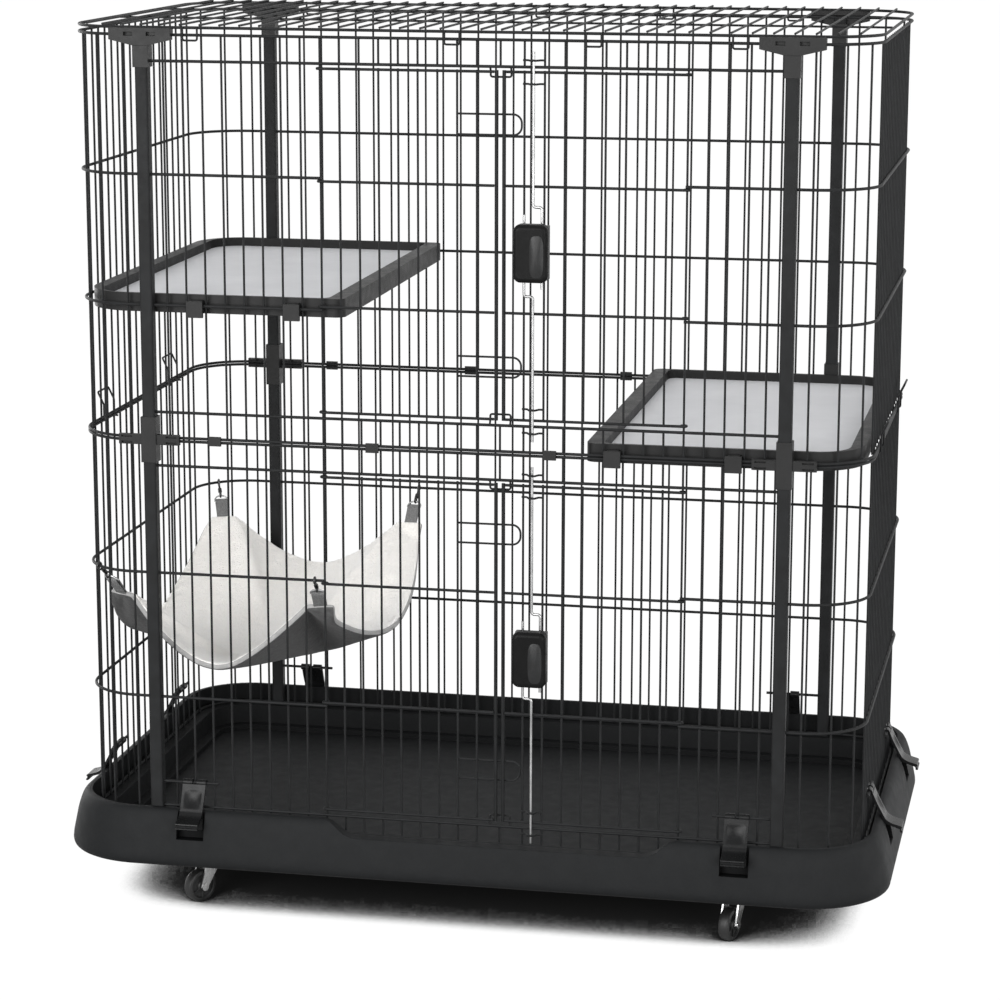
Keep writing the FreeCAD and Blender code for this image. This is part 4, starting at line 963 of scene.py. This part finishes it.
def grip_mesh(shape):
    """A soft upright ridge with rounded ends, its flat back towards +Y."""
    def ring_at(size, y):
        row = []
        for k in range(GRIP_SIDES):
            angle = 2 * math.pi * k / GRIP_SIDES
            cos, sin = math.cos(angle), math.sin(angle)
            rounding = abs(cos) ** GRIP_SQUARENESS + abs(sin) ** GRIP_SQUARENESS
            reach = size * rounding ** (-1 / GRIP_SQUARENESS)
            row.append(Vector((reach * cos * GRIP_HALF_WIDTH, y, reach * sin * GRIP_HALF_HEIGHT)))
        return row

    rows = [ring_at(1.0, GRIP_SINK)]
    for step in range(GRIP_STEPS):
        size = math.cos(math.pi / 2 * step / GRIP_STEPS)
        rows.append(ring_at(size, -GRIP_HEIGHT * (1 - size**2)))
    loft(shape, rows)


def latch_grips():
    """A grip on the face of each latch knob, in a lighter, glossier copy of the knob's plastic that
    paints a highlight.
    """
    for tier in ("lower", "upper"):
        knob = tier + "_latch_knob"
        low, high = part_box(knob)
        x, z = GRIP_OFFSET
        place = Matrix.Translation(((low.x + high.x) / 2 + x, low.y, (low.z + high.z) / 2 + z))
        make = placed(grip_mesh, place)
        new_piece(tier + "_latch_grip", make, "knob_plastic", knob, material=PAINTED_HIGHLIGHT_GRIP)


# Stage, light and camera

def seen_share(nodes, links):
    """One for what the camera, a reflection or glass looks at, and nought for other light."""
    rays = nodes.new("ShaderNodeLightPath")
    share = rays.outputs["Is Camera Ray"]
    for kind in ("Is Glossy Ray", "Is Transmission Ray"):
        either = nodes.new("ShaderNodeMath")
        either.operation = "MAXIMUM"
        links.new(share, either.inputs[0])
        links.new(rays.outputs[kind], either.inputs[1])
        share = either.outputs["Value"]
    return share


def floor():
    """A floor that glows white to the camera, with a shadow painted into the glow where the tray stands
    close over it.
    """
    half = FLOOR_SIZE / 2

    def fill(shape):
        corners = [(-half, -half, 0), (half, -half, 0), (half, half, 0), (-half, half, 0)]
        shape.faces.new([shape.verts.new(corner) for corner in corners])

    mesh = mesh_from("floor", fill)
    material = bpy.data.materials.new("floor")
    material.use_nodes = True
    nodes, links = material.node_tree.nodes, material.node_tree.links
    nodes.clear()
    matte = nodes.new("ShaderNodeBsdfDiffuse")
    matte.inputs["Color"].default_value = FLOOR_COLOUR
    glow = nodes.new("ShaderNodeEmission")
    both = nodes.new("ShaderNodeAddShader")
    open_sky = nodes.new("ShaderNodeAmbientOcclusion")
    open_sky.samples = SHADOW_SAMPLES
    open_sky.inputs["Distance"].default_value = SHADOW_REACH
    shade = nodes.new("ShaderNodeMapRange")
    shade.interpolation_type = "SMOOTHSTEP"
    shade.inputs["From Min"].default_value = SHADOW_DARK
    shade.inputs["From Max"].default_value = SHADOW_LIGHT
    shade.inputs["To Max"].default_value = FLOOR_GLOW
    strength = nodes.new("ShaderNodeMath")
    strength.operation = "MULTIPLY"
    output = nodes.new("ShaderNodeOutputMaterial")
    links.new(open_sky.outputs["AO"], shade.inputs["Value"])
    links.new(seen_share(nodes, links), strength.inputs[0])
    links.new(shade.outputs["Result"], strength.inputs[1])
    links.new(strength.outputs["Value"], glow.inputs["Strength"])
    links.new(matte.outputs["BSDF"], both.inputs[0])
    links.new(glow.outputs["Emission"], both.inputs[1])
    links.new(both.outputs["Shader"], output.inputs["Surface"])
    mesh.materials.append(material)
    add_object("floor", mesh)


def world():
    """Even white light all round, and white where the camera or a reflection sees past the floor."""
    made = bpy.data.worlds.new("studio")
    bpy.context.scene.world = made
    made.use_nodes = True
    nodes, links = made.node_tree.nodes, made.node_tree.links
    background = nodes["Background"]
    background.inputs["Color"].default_value = (1, 1, 1, 1)
    strength = nodes.new("ShaderNodeMapRange")
    strength.inputs["To Min"].default_value = AMBIENT
    strength.inputs["To Max"].default_value = 1.0
    links.new(seen_share(nodes, links), strength.inputs["Value"])
    links.new(strength.outputs["Result"], background.inputs["Strength"])


def soft_light(name, place, power):
    """A square area lamp that faces the middle of the playpen."""
    data = bpy.data.lights.new(name, "AREA")
    data.size = LAMP_SIZE
    data.energy = power
    lamp = bpy.data.objects.new(name, data)
    bpy.context.scene.collection.objects.link(lamp)
    target = (cad_box[0] + cad_box[1]) / 2
    lamp.location = place
    lamp.rotation_mode = "QUATERNION"
    lamp.rotation_quaternion = (target - Vector(place)).to_track_quat("-Z", "Y")


def camera():
    """The photograph's viewpoint."""
    yaw, pitch, roll = (math.radians(angle) for angle in (CAMERA_YAW, CAMERA_PITCH, CAMERA_ROLL))
    level = Vector((math.cos(yaw), math.sin(yaw), 0))
    forward = Vector((-math.sin(yaw), math.cos(yaw), 0))
    ahead = forward * math.cos(pitch) - UP * math.sin(pitch)
    above = level.cross(ahead)
    right = level * math.cos(roll) + above * math.sin(roll)
    upward = above * math.cos(roll) - level * math.sin(roll)
    data = bpy.data.cameras.new("camera")
    data.lens = CAMERA_LENS
    data.sensor_width = SENSOR
    data.clip_end = 2 * FLOOR_SIZE
    made = bpy.data.objects.new("camera", data)
    bpy.context.scene.collection.objects.link(made)
    turn = Matrix((right, upward, -ahead)).transposed().to_4x4()
    made.matrix_world = Matrix.Translation(CAMERA_PLACE) @ turn
    bpy.context.scene.camera = made


bpy.context.scene.view_settings.view_transform = "Standard"
dress_nodes()
cloth = hammock_cloth()
hammock_hardware()
caster_wheels()
tray_clips()
latch_grips()
cut_area()
floor()
world()
for name, (place, power) in LAMPS.items():
    soft_light(name, place, power)
camera()
